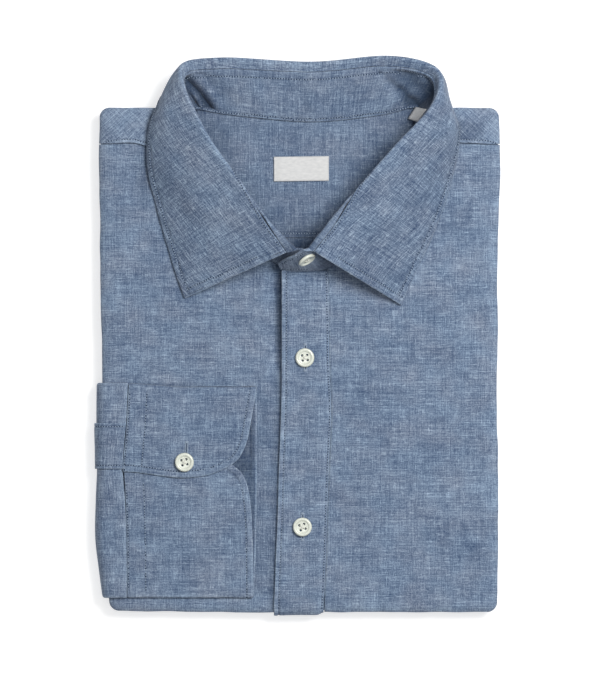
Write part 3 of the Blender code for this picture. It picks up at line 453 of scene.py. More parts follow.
def grid_faces(rows, columns):
    corners = [i * columns + j for i in range(rows - 1) for j in range(columns - 1)]
    return [(at, at + 1, at + columns + 1, at + columns) for at in corners]


def add_mesh(name, points, faces, weave, wear):
    """A smooth mesh object; weave holds each point's place in the flat cloth, and the wear list
    holds each point's wear together with painted light and shade: paler above 0, darker below.
    """
    mesh = bpy.data.meshes.new(name)
    mesh.from_pydata([(Vector(point) + CENTRE_SHIFT) * MM for point in points], [], faces)
    places = [value * MM for loop in mesh.loops for value in weave[loop.vertex_index]]
    mesh.uv_layers.new(name="weave").data.foreach_set("uv", places)
    mesh.attributes.new("wear", "FLOAT", "POINT").data.foreach_set("value", wear)
    mesh.shade_smooth()
    mesh.validate()
    thing = bpy.data.objects.new(name, mesh)
    bpy.context.collection.objects.link(thing)
    return thing


def grid_normals(rows):
    normals = []
    for i, row in enumerate(rows):
        above, below = around(rows, i)
        line = []
        for j in range(len(row)):
            before, after = around(row, j)
            line.append((below[j] - above[j]).cross(after - before).normalized())
        normals.append(line)
    return normals


def hollow_shade(x, y):
    """How much painted shade a place gets from the neck's hollows, from 0 up."""
    return min(1.7, sum(hollow.depth * patch(x, y, *hollow[:4]) for hollow in NECK_SHADE_PATCHES))


class Weaver:
    """Rows of a cloth's middle points: half thickness, place in the flat, wear with painted light
    and shade, and lift.
    """

    def __init__(self):
        self.rows = []

    def row(self):
        self.rows.append([])

    def add(self, point, half, spot, worn, lift=0):
        self.rows[-1].append((point, half, spot, worn, lift))

    def points(self):
        return [[cell[0] for cell in row] for row in self.rows]

    def shell(self, name, looped=False):
        """One closed wall of cloth, thin where its half thickness is small."""
        cells = self.rows
        rows = self.points()
        rows = [[point + normal * cell[4] for point, normal, cell in zip(*lines)]
                for lines in zip(rows, grid_normals(rows), cells)]
        normals = grid_normals(rows)
        if looped:
            for j in range(len(rows[0])):
                normals[0][j] = normals[-1][j] = (normals[0][j] + normals[-1][j]).normalized()
            rows, normals, cells = rows[:-1], normals[:-1], cells[:-1]
        high, wide = len(rows), len(rows[0])
        total = high * wide
        outer, inner, spots, wear = [], [], [], []
        for lines in zip(rows, normals, cells):
            for point, normal, cell in zip(*lines):
                outer.append(point + normal * cell[1])
                inner.append(point - normal * cell[1])
                spots.append(cell[2])
                wear.append(cell[3])
        faces = []
        for i in range(high if looped else high - 1):
            below = (i + 1) % high
            for j in range(wide - 1):
                a, b = i * wide + j, below * wide + j
                faces.append((a, b, b + 1, a + 1))
                faces.append((total + a, total + a + 1, total + b + 1, total + b))
            a, b = i * wide, below * wide
            faces.append((b, a, total + a, total + b))
            a, b = a + wide - 1, b + wide - 1
            faces.append((a, b, total + b, total + a))
        if not looped:
            end = (high - 1) * wide
            for j in range(wide - 1):
                faces.append((j, j + 1, total + j + 1, total + j))
                faces.append((end + j + 1, end + j, total + end + j, total + end + j + 1))
        return add_mesh(name, outer + inner, faces, spots * 2, wear * 2)


def deselect_all():
    for other in list(bpy.context.selected_objects):
        other.select_set(False)


def apply_modifier(thing, kind, **values):
    """Adds a modifier with the given values and applies it."""
    modifier = thing.modifiers.new("Shape", kind)
    for key, value in values.items():
        setattr(modifier, key, value)
    deselect_all()
    thing.select_set(True)
    bpy.context.view_layer.objects.active = thing
    bpy.ops.object.modifier_apply(modifier=modifier.name)


def turn_outward(thing):
    shape = bmesh.new()
    shape.from_mesh(thing.data)
    bmesh.ops.recalc_face_normals(shape, faces=shape.faces)
    shape.to_mesh(thing.data)
    shape.free()


def open_cloth(name, points, faces, weave, wear):
    """A cloth from its outer face, with its wall under it."""
    thing = add_mesh(name, points, faces, weave, wear)
    turn_outward(thing)
    if sum(face.normal.z * face.area for face in thing.data.polygons) < 0:
        thing.data.flip_normals()
    apply_modifier(thing, "SOLIDIFY", thickness=CLOTH * MM, offset=-1)
    thing.data.shade_smooth()
    return thing


def seat(thing, nodes, slot, *materials):
    """Gives a piece its materials and its body, and hides the nodes it stands for. Its slot is not
    used.
    """
    for material in materials:
        thing.data.materials.append(material)
    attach(thing, "root")
    if nodes:
        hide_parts(*nodes)


def surface_tree(thing):
    return BVHTree.FromPolygons([vertex.co for vertex in thing.data.vertices],
                                [tuple(face.vertices) for face in thing.data.polygons])


def drop_line(tree, line):
    """A line of (x, y) places laid on a surface from above, as points with their normals."""
    spots = []
    for x, y in line:
        start = (Vector((x, y, 200)) + CENTRE_SHIFT) * MM
        point, normal, index, distance = tree.ray_cast(start, Vector((0, 0, -1)))
        if point is not None:
            spots.append((point / MM - CENTRE_SHIFT, normal))
    return spots


# ---- filled rows, and the neck seam
def between(rows, i, part):
    """A row's numbers part of the way from row i to the next, on smooth curves."""
    four = rows[max(i - 1, 0)], rows[i], rows[i + 1], rows[min(i + 2, len(rows) - 1)]
    return [b + 0.5 * ((c - a) * part + (2 * a - 5 * b + 4 * c - d) * part ** 2
                       + (d - a + 3 * (b - c)) * part ** 3) for a, b, c, d in zip(*four)]


def loft_rows(rows, fine_start=(), fine_end=(), spacing=COLLAR_SPACING):
    """The rows' numbers, smoothly filled in, each with its place counted in rows."""
    numbers = [[value for value in row if not isinstance(value, str)] for row in rows]
    last = len(numbers) - 1
    filled = []
    for i in range(last):
        run = max(math.dist(numbers[i][3:6], numbers[i + 1][3:6]), 0.5)
        count = steps_for(run, spacing)
        parts = {round(step / count, 5) for step in range(count)}
        if i == 0:
            parts |= {round(reach / run, 5) for reach in fine_start}
        if i == last - 1:
            parts |= {round(1 - reach / run, 5) for reach in fine_end}
        filled += [(i + part, between(numbers, i, part))
                   for part in sorted(parts) if 0 <= part < 1]
    return filled + [(float(last), numbers[-1])]


NECK_ROWS = loft_rows(COLLAR_ROWS, spacing=3)
BACK_NECK = Curve([row[:2] for place, row in NECK_ROWS if LEFT_TURN <= place <= RIGHT_TURN])
SIDE_NECK = {-1: [row[:2] for place, row in NECK_ROWS if place <= LEFT_TURN],
             1: [row[:2] for place, row in NECK_ROWS if place >= RIGHT_TURN]}
NECK_Y = {side: Curve(line) for side, line in SIDE_NECK.items()}
NECK_X = {side: Curve([(y, x) for x, y in line]) for side, line in SIDE_NECK.items()}

# ---- fronts, yoke and back
FRONT_STEP = 1.7
NECK_LEVEL_Y = 100
SETTLE_LENGTH = 60
SHOULDER_X = 100
SIDE_NAMES = {-1: "left", 1: "right"}
BIAS_COS, BIAS_SIN = 0.74, 0.67


def roll_arcs():
    """How far round the fold each ring of the front's roll lies."""
    arcs = []
    inset, drop, total = ROLL_REACH, 0, 0
    for row in FRONT_ROLL:
        total += math.hypot(row.inset - inset, (row.drop - drop) * TOP_LOBE)
        inset, drop = row.inset, row.drop
        arcs.append(total)
    return arcs


class RolledCloth:
    """A panel whose outline rings roll under at its side and one end."""

    def __init__(self, side, end):
        self.side, self.end = side, end
        self.points, self.weave, self.wear, self.faces = [], [], [], []

    def add(self, x, y, z, u, v, worn=0):
        self.points.append((x, y, z))
        self.weave.append((u, v))
        self.wear.append(worn)
        return len(self.points) - 1

    def roll_under(self, side_numbers, corner, level_numbers):
        side, end = self.side, self.end
        side_ys = [self.points[number][1] for number in side_numbers]
        level_xs = [self.points[number][0] for number in level_numbers]
        last = side_numbers + [corner] * CORNER_POINTS + level_numbers
        outward = [(side, 0)] * len(side_ys)
        outward += [(side * math.cos(turn), end * math.sin(turn)) for turn in CORNER_TURNS]
        outward += [(0, end)] * len(level_xs)
        for row, arc in zip(FRONT_ROLL, roll_arcs()):
            numbers = []
            under = arc - ROLL_REACH + row.inset
            ring = (side_points(side, side_ys, row.inset) + corner_points(side, end, row.inset)
                    + level_points(end, level_xs, row.inset))
            for (x, y), (dx, dy) in zip(ring, outward):
                worn = 0.35 * bump(row.drop - 0.25, 0.25)
                height = cloth_top(x, y) - TOP_LOBE * row.drop
                numbers.append(self.add(x, y, height, x + dx * under, y + dy * under, worn))
            self.faces.extend(strip_faces(last, numbers))
            last = numbers

    def finish(self, name):
        return open_cloth(name, self.points, self.faces, self.weave, self.wear)


def front_shade(side, x, y):
    """Painted shade on the left front beside the placket, at the stand's tip, above the sleeve's
    top edge, between cuff and placket, and beside the left leaf's outer edge; on the right front,
    negative: painted light beside the band's seam.
    """
    if side > 0:
        return -0.6 * bump(x - BAND["right"](y), 1.2)
    upper = smooth_step(-14, 4, y)
    shade = (0.35 + 0.75 * upper) * bump(BAND["left"](y) - x, 2 + 2.6 * upper)
    over_sleeve = y + 29 + 2.4 * smooth_step(-117, -101, x) + 1.4 * smooth_step(-66, -25, x)
    if x < -25:
        shade += (0.9 - 0.5 * smooth_step(-100, -40, x)) * bump(over_sleeve - 0.6, 1.5)
    if x > -26:
        shade += 0.3 * smooth_step(-28, -40, y)
    return shade + 0.7 * patch(x, y, -90.5, 98, 4, 17) + 0.9 * patch(x, y, -11, 45, 5, 6)


def build_front(side):
    """A front panel: flat on the stack, rolled under at its side and foot."""
    cloth = RolledCloth(side, -1)
    foot_y = FOOT_EDGE_Y + ROLL_REACH
    shoulder_x = NECK_X[side](NECK_LEVEL_Y) + side * SEAM_GAP

    def across(y, part):
        outer = stack_edge(side, y) - side * ROLL_REACH
        inner = BAND["right"](y) + (BAND_CLEAR if side > 0 else -UNDER_LAP)
        return outer + (inner - outer) * part

    outer_x, inner_x = across(NECK_LEVEL_Y, 0), across(NECK_LEVEL_Y, 1)
    shoulder_part = (shoulder_x - outer_x) / (inner_x - outer_x)
    parts = spread(0, shoulder_part, steps_for(shoulder_x - outer_x, FRONT_STEP))
    parts += spread(shoulder_part, 1, steps_for(inner_x - shoulder_x, FRONT_STEP))[1:]
    high = steps_for(YOKE_LINE(side * SHOULDER_X) - foot_y, FRONT_STEP)
    for part in parts:
        x = across(NECK_LEVEL_Y, part)
        head_y = YOKE_LINE(x) - SEAM_GAP
        if part >= shoulder_part:
            head_y = min(head_y, NECK_Y[side](x - side * SEAM_GAP) - SEAM_GAP)
        for y in spread(head_y, foot_y, high):
            settled = 1 if part == 0 else min(1, (head_y - y) / SETTLE_LENGTH)
            place = x + (across(y, part) - x) * settled
            tuck = 0.55 * bump(YOKE_LINE(place) - y, 2.4) if abs(place) > 60 else 0
            # The front's wear attribute takes painted shade and light from front_shade.
            cloth.add(place, y, cloth_top(place, y) - tuck, place, y, -front_shade(side, place, y))
    rows = high + 1
    cloth.faces = grid_faces(len(parts), rows)
    cloth.roll_under(list(range(rows - 1)), rows - 1,
                     [line * rows + rows - 1 for line in range(1, len(parts))])
    return cloth.finish(SIDE_NAMES[side] + "_front_cloth")


YOKE_HEM_STEPS = (0, 0.25, 0.6, 1.1, 1.6, 2, 2.4, 3, 3.8)
INSIDE_STEP = 1.5
INSIDE_STITCH = 2.6


def yoke_hem(down):
    """Height of the yoke's turned edge over the front, by how far it is from the seam."""
    return 0.55 * bump(down, 3.4) - 0.55 * (1 - rounded(down, 1, 0)) - 0.34 * bump(down - 2, 0.5)


def pucker_light_and_shade(x, y, *off_lines):
    """Painted light and shade of the puckers beside lines of stitches."""
    return 0.55 * ripple(x, y, 2.1, 31) * sum(bump(off, 2.1) for off in off_lines)


def build_yoke_shoulder(side):
    """The yoke over one shoulder, from its front seam over the stack's top edge."""
    cloth = RolledCloth(side, 1)
    head_y = TOP_EDGE_Y - ROLL_REACH
    seam_y = YOKE_LINE(side * SHOULDER_X)
    levels = edged(seam_y, head_y, YOKE_HEM_STEPS, (0,), 6)[::-1]
    wide = 28
    for i in range(wide + 1):
        for j, level in enumerate(levels):
            inner = NECK_X[side](TOP_EDGE_Y if j == 0 else level) + side * SEAM_GAP
            outer = stack_edge(side, level) - side * ROLL_REACH
            x = outer + (inner - outer) * i / wide
            line = YOKE_LINE(x) + 0.15
            y = head_y + (line - head_y) * (level - head_y) / (seam_y - head_y)
            hem = y - line
            pucker = 0.3 * ripple(x, 4, 2.3, side) * bump(hem - 2, 2.2)
            # Painted light along the seam's rounded edge, painted shade in its stitch groove,
            # painted pucker shading, and the left yoke painted lighter and the right one darker.
            worn = (1.1 * bump(hem - 0.7, 1.1) - 0.5 * bump(hem - 2.4, 0.5)
                    + pucker_light_and_shade(x, y, hem - 2) + (0.12 if side < 0 else -0.3))
            cloth.add(x, y, cloth_top(x, y) + yoke_hem(hem) + pucker, x, y, worn)
    rows = len(levels)
    cloth.faces = grid_faces(wide + 1, rows)
    cloth.roll_under(list(range(rows - 1, 0, -1)), 0, [line * rows for line in range(1, wide + 1)])
    cloth.weave = [(BIAS_COS * u - side * BIAS_SIN * v, BIAS_SIN * side * u + BIAS_COS * v)
                   for u, v in cloth.weave]
    return cloth.finish(f"yoke_{SIDE_NAMES[side]}_cloth")


def build_inside_panel(name, head, foot_y, seam_y):
    """A panel of the back seen inside the neck, between the two sides of the neck seam."""
    head_y = max(head(NECK_X[side](TOP_EDGE_Y)) for side in (-1, 1))
    wide = steps_for(120, INSIDE_STEP)
    points, weave, wear = [], [], []
    levels = sorted(set(spread(head_y, foot_y, steps_for(head_y - foot_y, INSIDE_STEP)))
                    | {seam_y + off for off in (-1.4, -0.8, -0.4, 0.4, 0.8, 1.4, 2)
                       if foot_y < seam_y + off < head_y}, reverse=True)
    for level in levels:
        share = (level - foot_y) / (head_y - foot_y)
        for x in spread(NECK_X[-1](level) + NECK_CLEAR, NECK_X[1](level) - NECK_CLEAR, wide):
            y = level + (head(x) - head_y) * share
            hem = y - seam_y
            off_line = hem - INSIDE_STITCH
            groove = 0.3 * bump(off_line, 0.5) + 0.18 * ripple(x, 2, 2.4, 1) * bump(off_line, 2.4)
            points.append((x, y, cloth_top(x, y) - groove))
            weave.append((x + INSIDE_CUT, y))
            # Paler at the seam's edge; painted shade in the stitch groove, over the whole panel,
            # and deeper in the neck's hollows.
            wear.append(0.5 * bump(hem, 0.8) - 0.5 * bump(off_line, 0.5)
                        - 0.16 - 1.25 * hollow_shade(x, y))
    return open_cloth(name, points, grid_faces(len(levels), wide + 1), weave, wear)


def build_yoke_inside():
    foot_y = YOKE_INNER_SEAM_Y + SEAM_GAP
    return build_inside_panel(
        "yoke_inside_cloth", lambda x: BACK_NECK(x) + STAND_CLEAR, foot_y, foot_y)


def build_back_inside():
    return build_inside_panel(
        "back_inside_cloth", lambda x: YOKE_INNER_SEAM_Y, BACK_INSIDE_FOOT_Y, BACK_SEAM_Y)


# ---- the folded core
CORE_INSET = 12
RING_RUN = 1.1


def lobe_rings():
    """Inset, share of the height, waviness and lobe number of the lower layers' rings."""
    rings = [(CORE_ROLL[-1].inset, 1, 0, 0)]
    count = len(LOWER_LOBES)
    for i, lobe in enumerate(LOWER_LOBES):
        for step in LOBE_STEPS if i < count - 1 else LOBE_STEPS_FOOT:
            rings.append((lobe.inset + step.inset, 1 - (i + step.down) / count, lobe.wave, i + 1))
    return rings


def build_core():
    """The folded layers under the fronts: one rounded solid, layered at its edges."""
    reach = CORE_INSET + 1
    side_ys = spread(TOP_EDGE_Y - reach, FOOT_EDGE_Y + reach, 90)
    level_xs = spread(EDGE[-1](0) + reach, EDGE[1](0) - reach, 72)

    def ring(inset):
        return (side_points(-1, side_ys, inset) + corner_points(-1, -1, inset)
                + level_points(-1, level_xs, inset) + corner_points(1, -1, inset)[::-1]
                + side_points(1, side_ys[::-1], inset) + corner_points(1, 1, inset)
                + level_points(1, level_xs[::-1], inset) + corner_points(-1, 1, inset)[::-1])

    ys = [TOP_EDGE_Y - CORE_INSET] + side_ys + [FOOT_EDGE_Y + CORE_INSET]
    columns, rows = len(level_xs) + 2, len(ys)
    places = [(EDGE[-1](y) + CORE_INSET, y) for y in ys]
    places += [(x, y) for x in level_xs for y in ys]
    places += [(EDGE[1](y) - CORE_INSET, y) for y in ys]
    points = [(x, y, cloth_top(x, y) - LAYER) for x, y in places]
    weave = list(places)
    faces = grid_faces(columns, rows)
    end = (columns - 1) * rows
    last = list(range(1, rows - 1)) + [rows - 1] * CORNER_POINTS
    last += [line * rows + rows - 1 for line in range(1, columns - 1)]
    last += [end + rows - 1] * CORNER_POINTS + list(range(end + rows - 2, end, -1))
    last += [end] * CORNER_POINTS + [line * rows for line in range(columns - 2, 0, -1)]
    last += [0] * CORNER_POINTS + [1]
    rings = [(row.inset, None, 0, row.drop) for row in CORE_ROLL] + lobe_rings()
    over_edge = 0
    for inset, share, wave, mark in rings:
        first = len(points)
        over_edge += RING_RUN
        for x, y in ring(inset):
            if share is None:
                z = cloth_top(x, y) - LAYER - (TOP_LOBE - 2 * LAYER) * mark
            else:
                z = share * (flat_top(x, y) + settle(x, y) * 0.6 - TOP_LOBE - SEAM_GAP)
                if 0.02 < share < 0.995:
                    z += 0.3 * wave * ripple(x + y, mark * 9, 16, 4.4)
                    x -= math.copysign(wave * 0.9 * (ripple(y, mark * 9, 21, 6.6) + 0.35), x)
                    y -= math.copysign(wave * 0.7 * (ripple(x, mark * 9, 21, 9.6) + 0.35), y)
            points.append((x, y, z))
            weave.append((x + math.copysign(over_edge, x), y - over_edge))
        numbers = list(range(first, len(points))) + [first]
        faces.extend(strip_faces(last, numbers))
        last = numbers
    faces.append(tuple(last[:-1]))
    thing = add_mesh("folded_layers", points, faces, weave, [0] * len(points))
    turn_outward(thing)
    return thing


# ---- placket band
BAND_EDGE_STEPS = (0, 0.1, 0.3, 0.6, 1, 1.6, 2.1, 2.5, 2.85, 3.2, 3.7, 4.5)
BAND_SEAM_STEPS = (0, 0.3, 0.7, 1.1, 1.5, 1.9, 2.5, 3.3, 4.2)
BAND_STITCH = 2.85
BAND_SEAM_STITCH = 1.1
BAND_FOOT_DROP = 0.8
BAND_ROLL_ROWS = 11
WIDEST_DROP = 0.57


def band_height(x, y):
    """Height of the band's outer face."""
    low, high = BAND["left"](y), BAND["right"](y)
    in_left = x - low
    off_edge, off_seam = in_left - BAND_STITCH, high - x - BAND_SEAM_STITCH
    step = 1 - smooth_step(high - BAND_STEP, high - 0.3, x)
    return (cloth_top(max(x, low + 1), y) + 0.14 + (BAND_LIFT - 0.14) * step
            + BAND["curl"](y) * bump(max(in_left, 0), 6.5)
            - 0.32 * bump(off_edge, 0.55) - 0.06 * bump(off_seam, 0.6)
            + 0.3 * ripple(y, 1, 2.6, 5) * bump(off_edge, 2.2)
            + 0.4 * ripple(y, 9, 3, 2) * bump(off_seam, 2.4))


def build_band():
    """The placket band, its right edge stepping down to the right front's seam."""
    cloth = Weaver()
    head = BAND_ROWS[0].y
    foot = FOOT_EDGE_Y + ROLL_REACH
    levels = [(y, 0, ROLL_REACH, 0) for y in spread(head, foot, steps_for(head - foot, 0.9))]
    levels += [(FOOT_EDGE_Y - BAND_FOOT_DROP, roll.drop, roll.inset, arc)
               for roll, arc in zip(FRONT_ROLL[:BAND_ROLL_ROWS], roll_arcs())]
    for y, drop, inset, arc in levels:
        cloth.row()
        low, high = BAND["left"](y), BAND["right"](y)
        turn = math.pi / 2 * min(1, drop / WIDEST_DROP)
        for x in edged(low, high, BAND_EDGE_STEPS, BAND_SEAM_STEPS, 14):
            in_left, in_right = x - low, high - x
            off_edge, off_seam = in_left - BAND_STITCH, in_right - BAND_SEAM_STITCH
            top = band_height(x, y)
            place_y, middle = y, top - CLOTH / 2
            if drop or inset < ROLL_REACH:
                over = top - cloth_top(x, y) - CLOTH / 2
                place_y = y + inset - over * math.sin(turn)
                middle = cloth_top(x, y + inset) - TOP_LOBE * drop + over * math.cos(turn)
            # Painted pucker shading; paler at the left edge and between it and its stitch line;
            # painted shade in the stitch groove and under the stand's lap at the top; painted
            # light beside the right seam.
            worn = (pucker_light_and_shade(x, y, off_edge, off_seam)
                    + 0.9 * bump(in_left, 0.7) - 0.45 * bump(off_edge, 0.45)
                    - 0.6 * bump(head - y, 2.6) + 0.25 * bump(in_left - 1.6, 0.8)
                    + 0.2 * bump(in_right - 2.6, 0.9) + 0.6 * bump(in_right, 0.6))
            cloth.add(Vector((x, place_y, middle)),
                      CLOTH / 2 * rounded(in_left, 0.7, 0.03) - 0.12 * bump(off_edge, 0.5),
                      (x + BAND_CUT, y - arc), worn)
    return cloth.shell("placket_cloth")


# ---- collar
STAND_RUN = 8
FOLD_RUN = 14
LEAF_RUN = 24
HEM_STEPS = (0, 0.1, 0.3, 0.65, 1.1, 1.7, 2.5, 3.2, 3.75, 4.2, 4.65, 5.2, 6.2)
LEAF_HEM = 4.2
STAND_TOP_STITCH = 4.4
STAND_NECK_STITCH = 1.7
LEAF_SEAM_STITCH = 1.5
LAP_STITCH = 2.6


def fold_arc(ridge, rise, fall, radius):
    """Points round the fold: an arc of the given radius set under the ridge."""
    half = (-rise).angle(fall) / 2
    reach = radius / math.tan(half)
    centre = ridge + (fall - rise).normalized() * (radius / math.sin(half))
    first = ridge - rise * reach - centre
    last = ridge + fall * reach - centre
    return [centre + first.slerp(last, part) for part in spread(0, 1, FOLD_RUN)]


def collar_path(row):
    """A section's path from the neck seam to the leaf's edge, its lengths and fold's middle."""
    nx, ny, lift, rx, ry, rz, ex, ey, ez, bow, radius, seam = row
    ridge = Vector((rx, ry, rz))
    edge = Vector((ex, ey, ez))
    lean = Vector((rx - nx, ry - ny, rz - flat_top(nx, ny))).normalized()
    base = cloth_top(nx, ny) + lift + STAND_CLOTH / 2 * math.hypot(lean.x, lean.y)
    neck = Vector((nx, ny, base))
    rise = (ridge - neck).normalized()
    fall = (edge - ridge).normalized()
    outward = (rise - fall * rise.dot(fall)).normalized()
    arc = fold_arc(ridge, rise, fall, radius)
    path = [neck.lerp(arc[0], i / STAND_RUN) for i in range(STAND_RUN)] + arc
    path += [arc[-1].lerp(edge, part) + outward * (bow * math.sin(math.pi * part))
             for part in spread(0, 1, LEAF_RUN)[1:]]
    lengths = [0]
    for a, b in zip(path, path[1:]):
        lengths.append(lengths[-1] + (b - a).length)
    return path, lengths, lengths[STAND_RUN + FOLD_RUN // 2]


def seam_ends(row, middle):
    """Where the stand ends and the leaf starts along a section, either side of their seam."""
    near = max(0, 1 - abs(row[-1]) / FOLD_CLEAR)
    gap = COLLAR_SEAM_GAP + (FOLD_SEAM_GAP - COLLAR_SEAM_GAP) * near
    seam = middle + row[-1]
    return seam - gap / 2, seam + gap / 2


def stand_marks(row, lengths, middle):
    end = seam_ends(row, middle)[0]
    knee = min(middle - 1.6 * row[-2], end - FOLD_CLEAR)
    low = edged(0, knee, (0, 0.12, 0.4, 0.8, 1.25, 1.7, 2.15, 2.8), (0,), 18)
    return low + edged(knee, end, (0,), (0, 0.12, 0.35, 0.7), 9)[1:]


def leaf_marks(row, lengths, middle):
    start = seam_ends(row, middle)[1]
    knee = max(middle + 1.6 * row[-2] + 1, start + FOLD_CLEAR)
    low = edged(start, knee, (0, 0.12, 0.35, 0.7, 1.1, 1.6), (0,), 10)
    return low + edged(knee, lengths[-1], (0,), HEM_STEPS, 24)[1:]


class EdgeFinder:
    """How far a point lies from a piece's outline."""

    def __init__(self, outline):
        spots = []
        for a, b in zip(outline, outline[1:]):
            count = steps_for((b - a).length, 0.3)
            spots += [a.lerp(b, i / count) for i in range(count)]
        spots.append(outline[-1])
        self.tree = kdtree.KDTree(len(spots))
        for i, spot in enumerate(spots):
            self.tree.insert(spot, i)
        self.tree.balance()

    def __call__(self, point):
        return self.tree.find(point)[2]


def hem_half(away, full, hem):
    """Half a hemmed cloth's thickness: round at its edge and drawn in at its line."""
    swell = 0.16 * smooth_step(0.4, 1.4, away) * (1 - smooth_step(hem - 1, hem + 0.4, away))
    return full * rounded(away, 0.75, 0.02) + swell - 0.26 * bump(away - hem, 0.5)


def hem_wear_and_shade(away, hem):
    # Pale worn edge, painted shade in the stitch line's groove, and paler just inside the line.
    off_line = away - hem
    return 0.95 * bump(away, 0.75) - 0.5 * bump(off_line, 0.5) + 0.2 * bump(off_line + 1.4, 0.7)


class Section:
    """One section round the collar with its points, and its place along the cloth."""

    def __init__(self, place, row, marks):
        self.place = place
        self.path, self.lengths, self.middle = collar_path(row)
        self.marks = marks(row, self.lengths, self.middle)
        self.points = [self.at(mark) for mark in self.marks]
        self.along = 0

    def at(self, reach):
        """The path's point at a length from the neck seam."""
        i = min(max(bisect_right(self.lengths, reach), 1), len(self.lengths) - 1)
        low, high = self.lengths[i - 1:i + 1]
        part = (reach - low) / max(high - low, 1e-6)
        return self.path[i - 1].lerp(self.path[i], min(max(part, 0), 1))


def collar_sections(rows, marks):
    sections = [Section(place, row, marks) for place, row in rows]
    half = len(sections[0].points) // 2
    for before, after in zip(sections, sections[1:]):
        after.along = before.along + (after.points[half] - before.points[half]).length
    return sections


FRONT_EDGE_STEPS = (0.1, 0.3, 0.65, 1.1, 1.7, 2.5, 3.3, 3.8, 4.3, 4.9)


def build_leaf():
    """The collar's leaf round the neck, from its seam over the ridge to its outer edge."""
    sections = collar_sections(loft_rows(COLLAR_ROWS, FRONT_EDGE_STEPS, FRONT_EDGE_STEPS),
                               leaf_marks)
    away_from = EdgeFinder(sections[0].points + [s.points[-1] for s in sections[1:-1]]
                           + sections[-1].points[::-1])
    cloth = Weaver()
    for section in sections:
        cloth.row()
        for point, at in zip(section.points, section.marks):
            x, y = point.x, point.y
            away = away_from(point)
            from_seam, past_fold = at - section.marks[0], at - section.middle
            off_seam, off_hem = from_seam - LEAF_SEAM_STITCH, away - LEAF_HEM
            half = hem_half(away, LEAF_CLOTH / 2 * rounded(from_seam, 0.5, 0.05), LEAF_HEM)
            # Pale worn hem edges with painted shade in their stitch grooves, a painted highlight
            # along the fold, painted shade at the seam edge, painted pucker shading, and painted
            # shade over the leaf's right half.
            worn = (hem_wear_and_shade(away, LEAF_HEM) + 0.3 * bump(past_fold, 2.2)
                    - 0.1 * bump(from_seam, 0.4) + pucker_light_and_shade(x, y, off_hem, off_seam)
                    - 0.28 * smooth_step(5, 45, x))
            swell = 0.55 * ripple(x, y, 27, 12) + 0.28 * ripple(x, y, 11, 4)
            pucker = 0.42 * ripple(x, y, 2.6, 9) * bump(off_hem, 2.4)
            lift = (smooth_step(0, 14, past_fold) * (swell + crease_height(LEAF_CREASES, x, y))
                    + pucker + 0.22 * ripple(section.along, at, 3.4, 2) * bump(off_seam, 3))
            cloth.add(point, half - 0.14 * bump(off_seam, 0.5), (section.along + LEAF_CUT, at),
                      worn, lift)
    return cloth.shell("collar_leaf_cloth"), sections


def stand_rows():
    """The stand's sections from its hidden under end round the back to its lapped tip."""
    under = loft_rows(STAND_UNDER_END + COLLAR_ROWS[:1], FRONT_EDGE_STEPS)
    upper = loft_rows(COLLAR_ROWS[-1:] + STAND_UPPER_END, (), FRONT_EDGE_STEPS)
    return ([(place - len(STAND_UNDER_END), row) for place, row in under[:-1]]
            + loft_rows(COLLAR_ROWS)
            + [(place + LAST_SECTION, row) for place, row in upper[1:]])


def build_stand():
    """The collar's stand, seen from inside round the neck and outside at its lapped end."""
    sections = collar_sections(stand_rows(), stand_marks)
    tip = EdgeFinder(sections[-1].points)
    cloth = Weaver()
    for section in sections:
        cloth.row()
        lapped = smooth_step(LAST_SECTION - 0.4, LAST_SECTION + 0.6, section.place)
        line = STAND_TOP_STITCH + (LAP_STITCH - STAND_TOP_STITCH) * lapped
        for point, at in zip(section.points, section.marks):
            x, y = point.x, point.y
            from_top = section.marks[-1] - at
            from_tip = tip(point) if section.place > LAST_SECTION + 2 else 60
            ends = min(at, from_top, from_tip)
            off_top, off_neck = from_top - line, at - STAND_NECK_STITCH
            groove = bump(off_top, 0.55) + bump(off_neck, 0.5) + bump(from_tip - LAP_STITCH, 0.5)
            groove = min(groove, 1)
            crease = (smooth_step(0, 3, from_top) * smooth_step(0, 2, at)
                      * crease_height(STAND_CREASES, x, y))
            # Painted shade in the neck's hollows and crease troughs; paler at its edges; painted
            # shade in the stitch grooves and at the top seam; painted pucker shading; painted
            # light on the lapped end, and painted shade on its right part under the leaf.
            shade = hollow_shade(x, y) * (1 - lapped) + max(0, -0.5 * crease)
            worn = (0.5 * bump(ends, 0.7) * (1 - lapped * (at < 2)) - 0.55 * groove
                    - 0.3 * bump(from_top, 0.45) + pucker_light_and_shade(x, y, off_top, off_neck)
                    + lapped * (0.8 - 1.2 * smooth_step(7, 15, x)) - shade)
            along = section.along
            swell = 0.5 * ripple(along, at, 17, 21) + 0.2 * ripple(along, at, 7, 3)
            swell *= smooth_step(0, 6, at) * smooth_step(0, 6, from_top) * (1 - lapped)
            pucker = ripple(along, at, 2.5, 6) * (bump(off_top, 2.4) + bump(off_neck, 2.4))
            cloth.add(point, STAND_CLOTH / 2 * rounded(ends, 0.7, 0.03) - 0.24 * groove,
                      (along + STAND_CUT, at), worn, swell + 0.3 * pucker + crease)
    return cloth.shell("collar_stand_cloth"), sections


# ---- sleeve and cuff
SLEEVE_LEFT = column(SLEEVE_SIDES, "y", "left")
SLEEVE_SEAM = column(SLEEVE_SIDES, "y", "seam")


